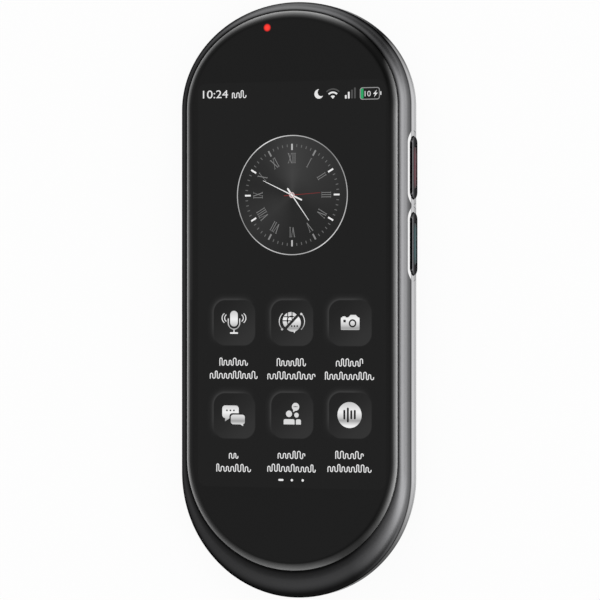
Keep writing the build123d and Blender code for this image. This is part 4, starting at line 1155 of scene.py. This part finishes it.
turn = radians(CAMERA_TURN)
back, right, up = Vector((sin(turn), 0, cos(turn))), Vector((cos(turn), 0, -sin(turn))), Vector((0, 1, 0))
camera_data = bpy.data.cameras.new("camera")
camera_data.lens = LENS
camera_data.clip_start, camera_data.clip_end = 0.01, 50
camera = link("camera", camera_data)
distance = FRAME_HEIGHT * MM * LENS / camera_data.sensor_width
camera.matrix_world = (Matrix.Translation(Vector(AIM) * MM + back * distance)
                       @ Matrix((right, up, back)).transposed().to_4x4())
bpy.context.scene.camera = camera

# ---------------- floor and light
FLOOR_WHITE = 0.93  # share of pure white that the camera and reflections see; the rest keeps the shadow
FLOOR_HALF = 3.0

floor_mesh = bpy.data.meshes.new("floor")
corners = ((-1, -1), (1, -1), (1, 1), (-1, 1))
floor_mesh.from_pydata([(x * FLOOR_HALF, y * FLOOR_HALF, 0) for x, y in corners], [], [(0, 1, 2, 3)])
floor = link("floor", floor_mesh)
paper = Finish("floor")
floor_mesh.materials.append(paper.put(Base_Color=grey(0.8), Roughness=0.9))
path = paper.add("LightPath").outputs
seen = paper.calc("MAXIMUM", path["Is Camera Ray"], path["Is Glossy Ray"])
seen = paper.calc("MAXIMUM", seen, path["Is Transmission Ray"])
mix = paper.add("MixShader")
paper.feed(mix.inputs["Fac"], paper.calc("MULTIPLY", seen, FLOOR_WHITE))
paper.feed(mix.inputs[1], paper.nodes["Principled BSDF"].outputs["BSDF"])
paper.feed(mix.inputs[2], paper.add("Emission").outputs["Emission"])
paper.feed(paper.nodes["Material Output"].inputs["Surface"], mix.outputs["Shader"])

# The studio: dim overhead, with a long soft light to the right and weaker ones beyond the two ends and the
# left. Each has its strength and how it fades with the x and the y of the direction, as (component, share).
OVERHEAD = 0.27
LIGHTS = {
    "right": (2.4, [(0.02, 0), (0.2, 0.2), (0.32, 0.5), (0.48, 1), (0.6, 1), (0.8, 0.75), (0.92, 0.5),
                    (1, 0.35)], [(-0.65, 0), (-0.3, 1), (0.3, 1), (0.65, 0)]),
    "top end": (1.5, [(-0.95, 0.3), (-0.7, 1), (0, 1), (0.3, 0)],
                [(0.3, 0), (0.45, 0.2), (0.62, 1), (0.8, 1), (0.9, 0.6), (1, 0.2)]),
    "bottom end": (0.8, [(-0.8, 0.3), (-0.4, 1), (0.2, 1), (0.5, 0)],
                   [(-0.8, 0.1), (-0.62, 1), (-0.5, 1), (-0.35, 0)]),
    "left": (0.3, [(-0.85, 1), (-0.6, 0)], [(-1, 1), (1, 1)]),
}
world = bpy.data.worlds.new("world")
bpy.context.scene.world = world
studio = Tree(world)
toward = studio.place("Generated")
light = OVERHEAD
for strength, *fades in LIGHTS.values():
    shares = []
    for component, stops in zip(toward, fades):
        scaled = studio.calc("MULTIPLY_ADD", component, 0.5, 0.5)
        shares.append(studio.ramp(scaled, [((place + 1) / 2, share) for place, share in stops]))
    light = studio.calc("MULTIPLY_ADD", strength, studio.calc("MULTIPLY", *shares), light)
# The camera itself sees plain white where it looks past the floor.
unseen = studio.calc("SUBTRACT", 1, studio.add("LightPath").outputs["Is Camera Ray"])
strength = studio.calc("MULTIPLY_ADD", studio.calc("SUBTRACT", light, 1), unseen, 1)
background = studio.nodes["Background"].inputs
studio.feed(background["Color"], grey(1.0))
studio.feed(background["Strength"], strength)

# One weak lamp gives the shadow on the floor a direction; it has no hard mirror image.
LAMP_PLACE = (0.35, 0.45, 0.9)  # in metres
lamp_data = bpy.data.lights.new("soft_lamp", "AREA")
lamp_data.size, lamp_data.energy = 0.7, 1.0
lamp = link("soft_lamp", lamp_data)
lamp.location = LAMP_PLACE
lamp.rotation_euler = (-lamp.location).to_track_quat("-Z", "Y").to_euler()
lamp.visible_glossy = False
bpy.context.scene.view_settings.view_transform = "Standard"
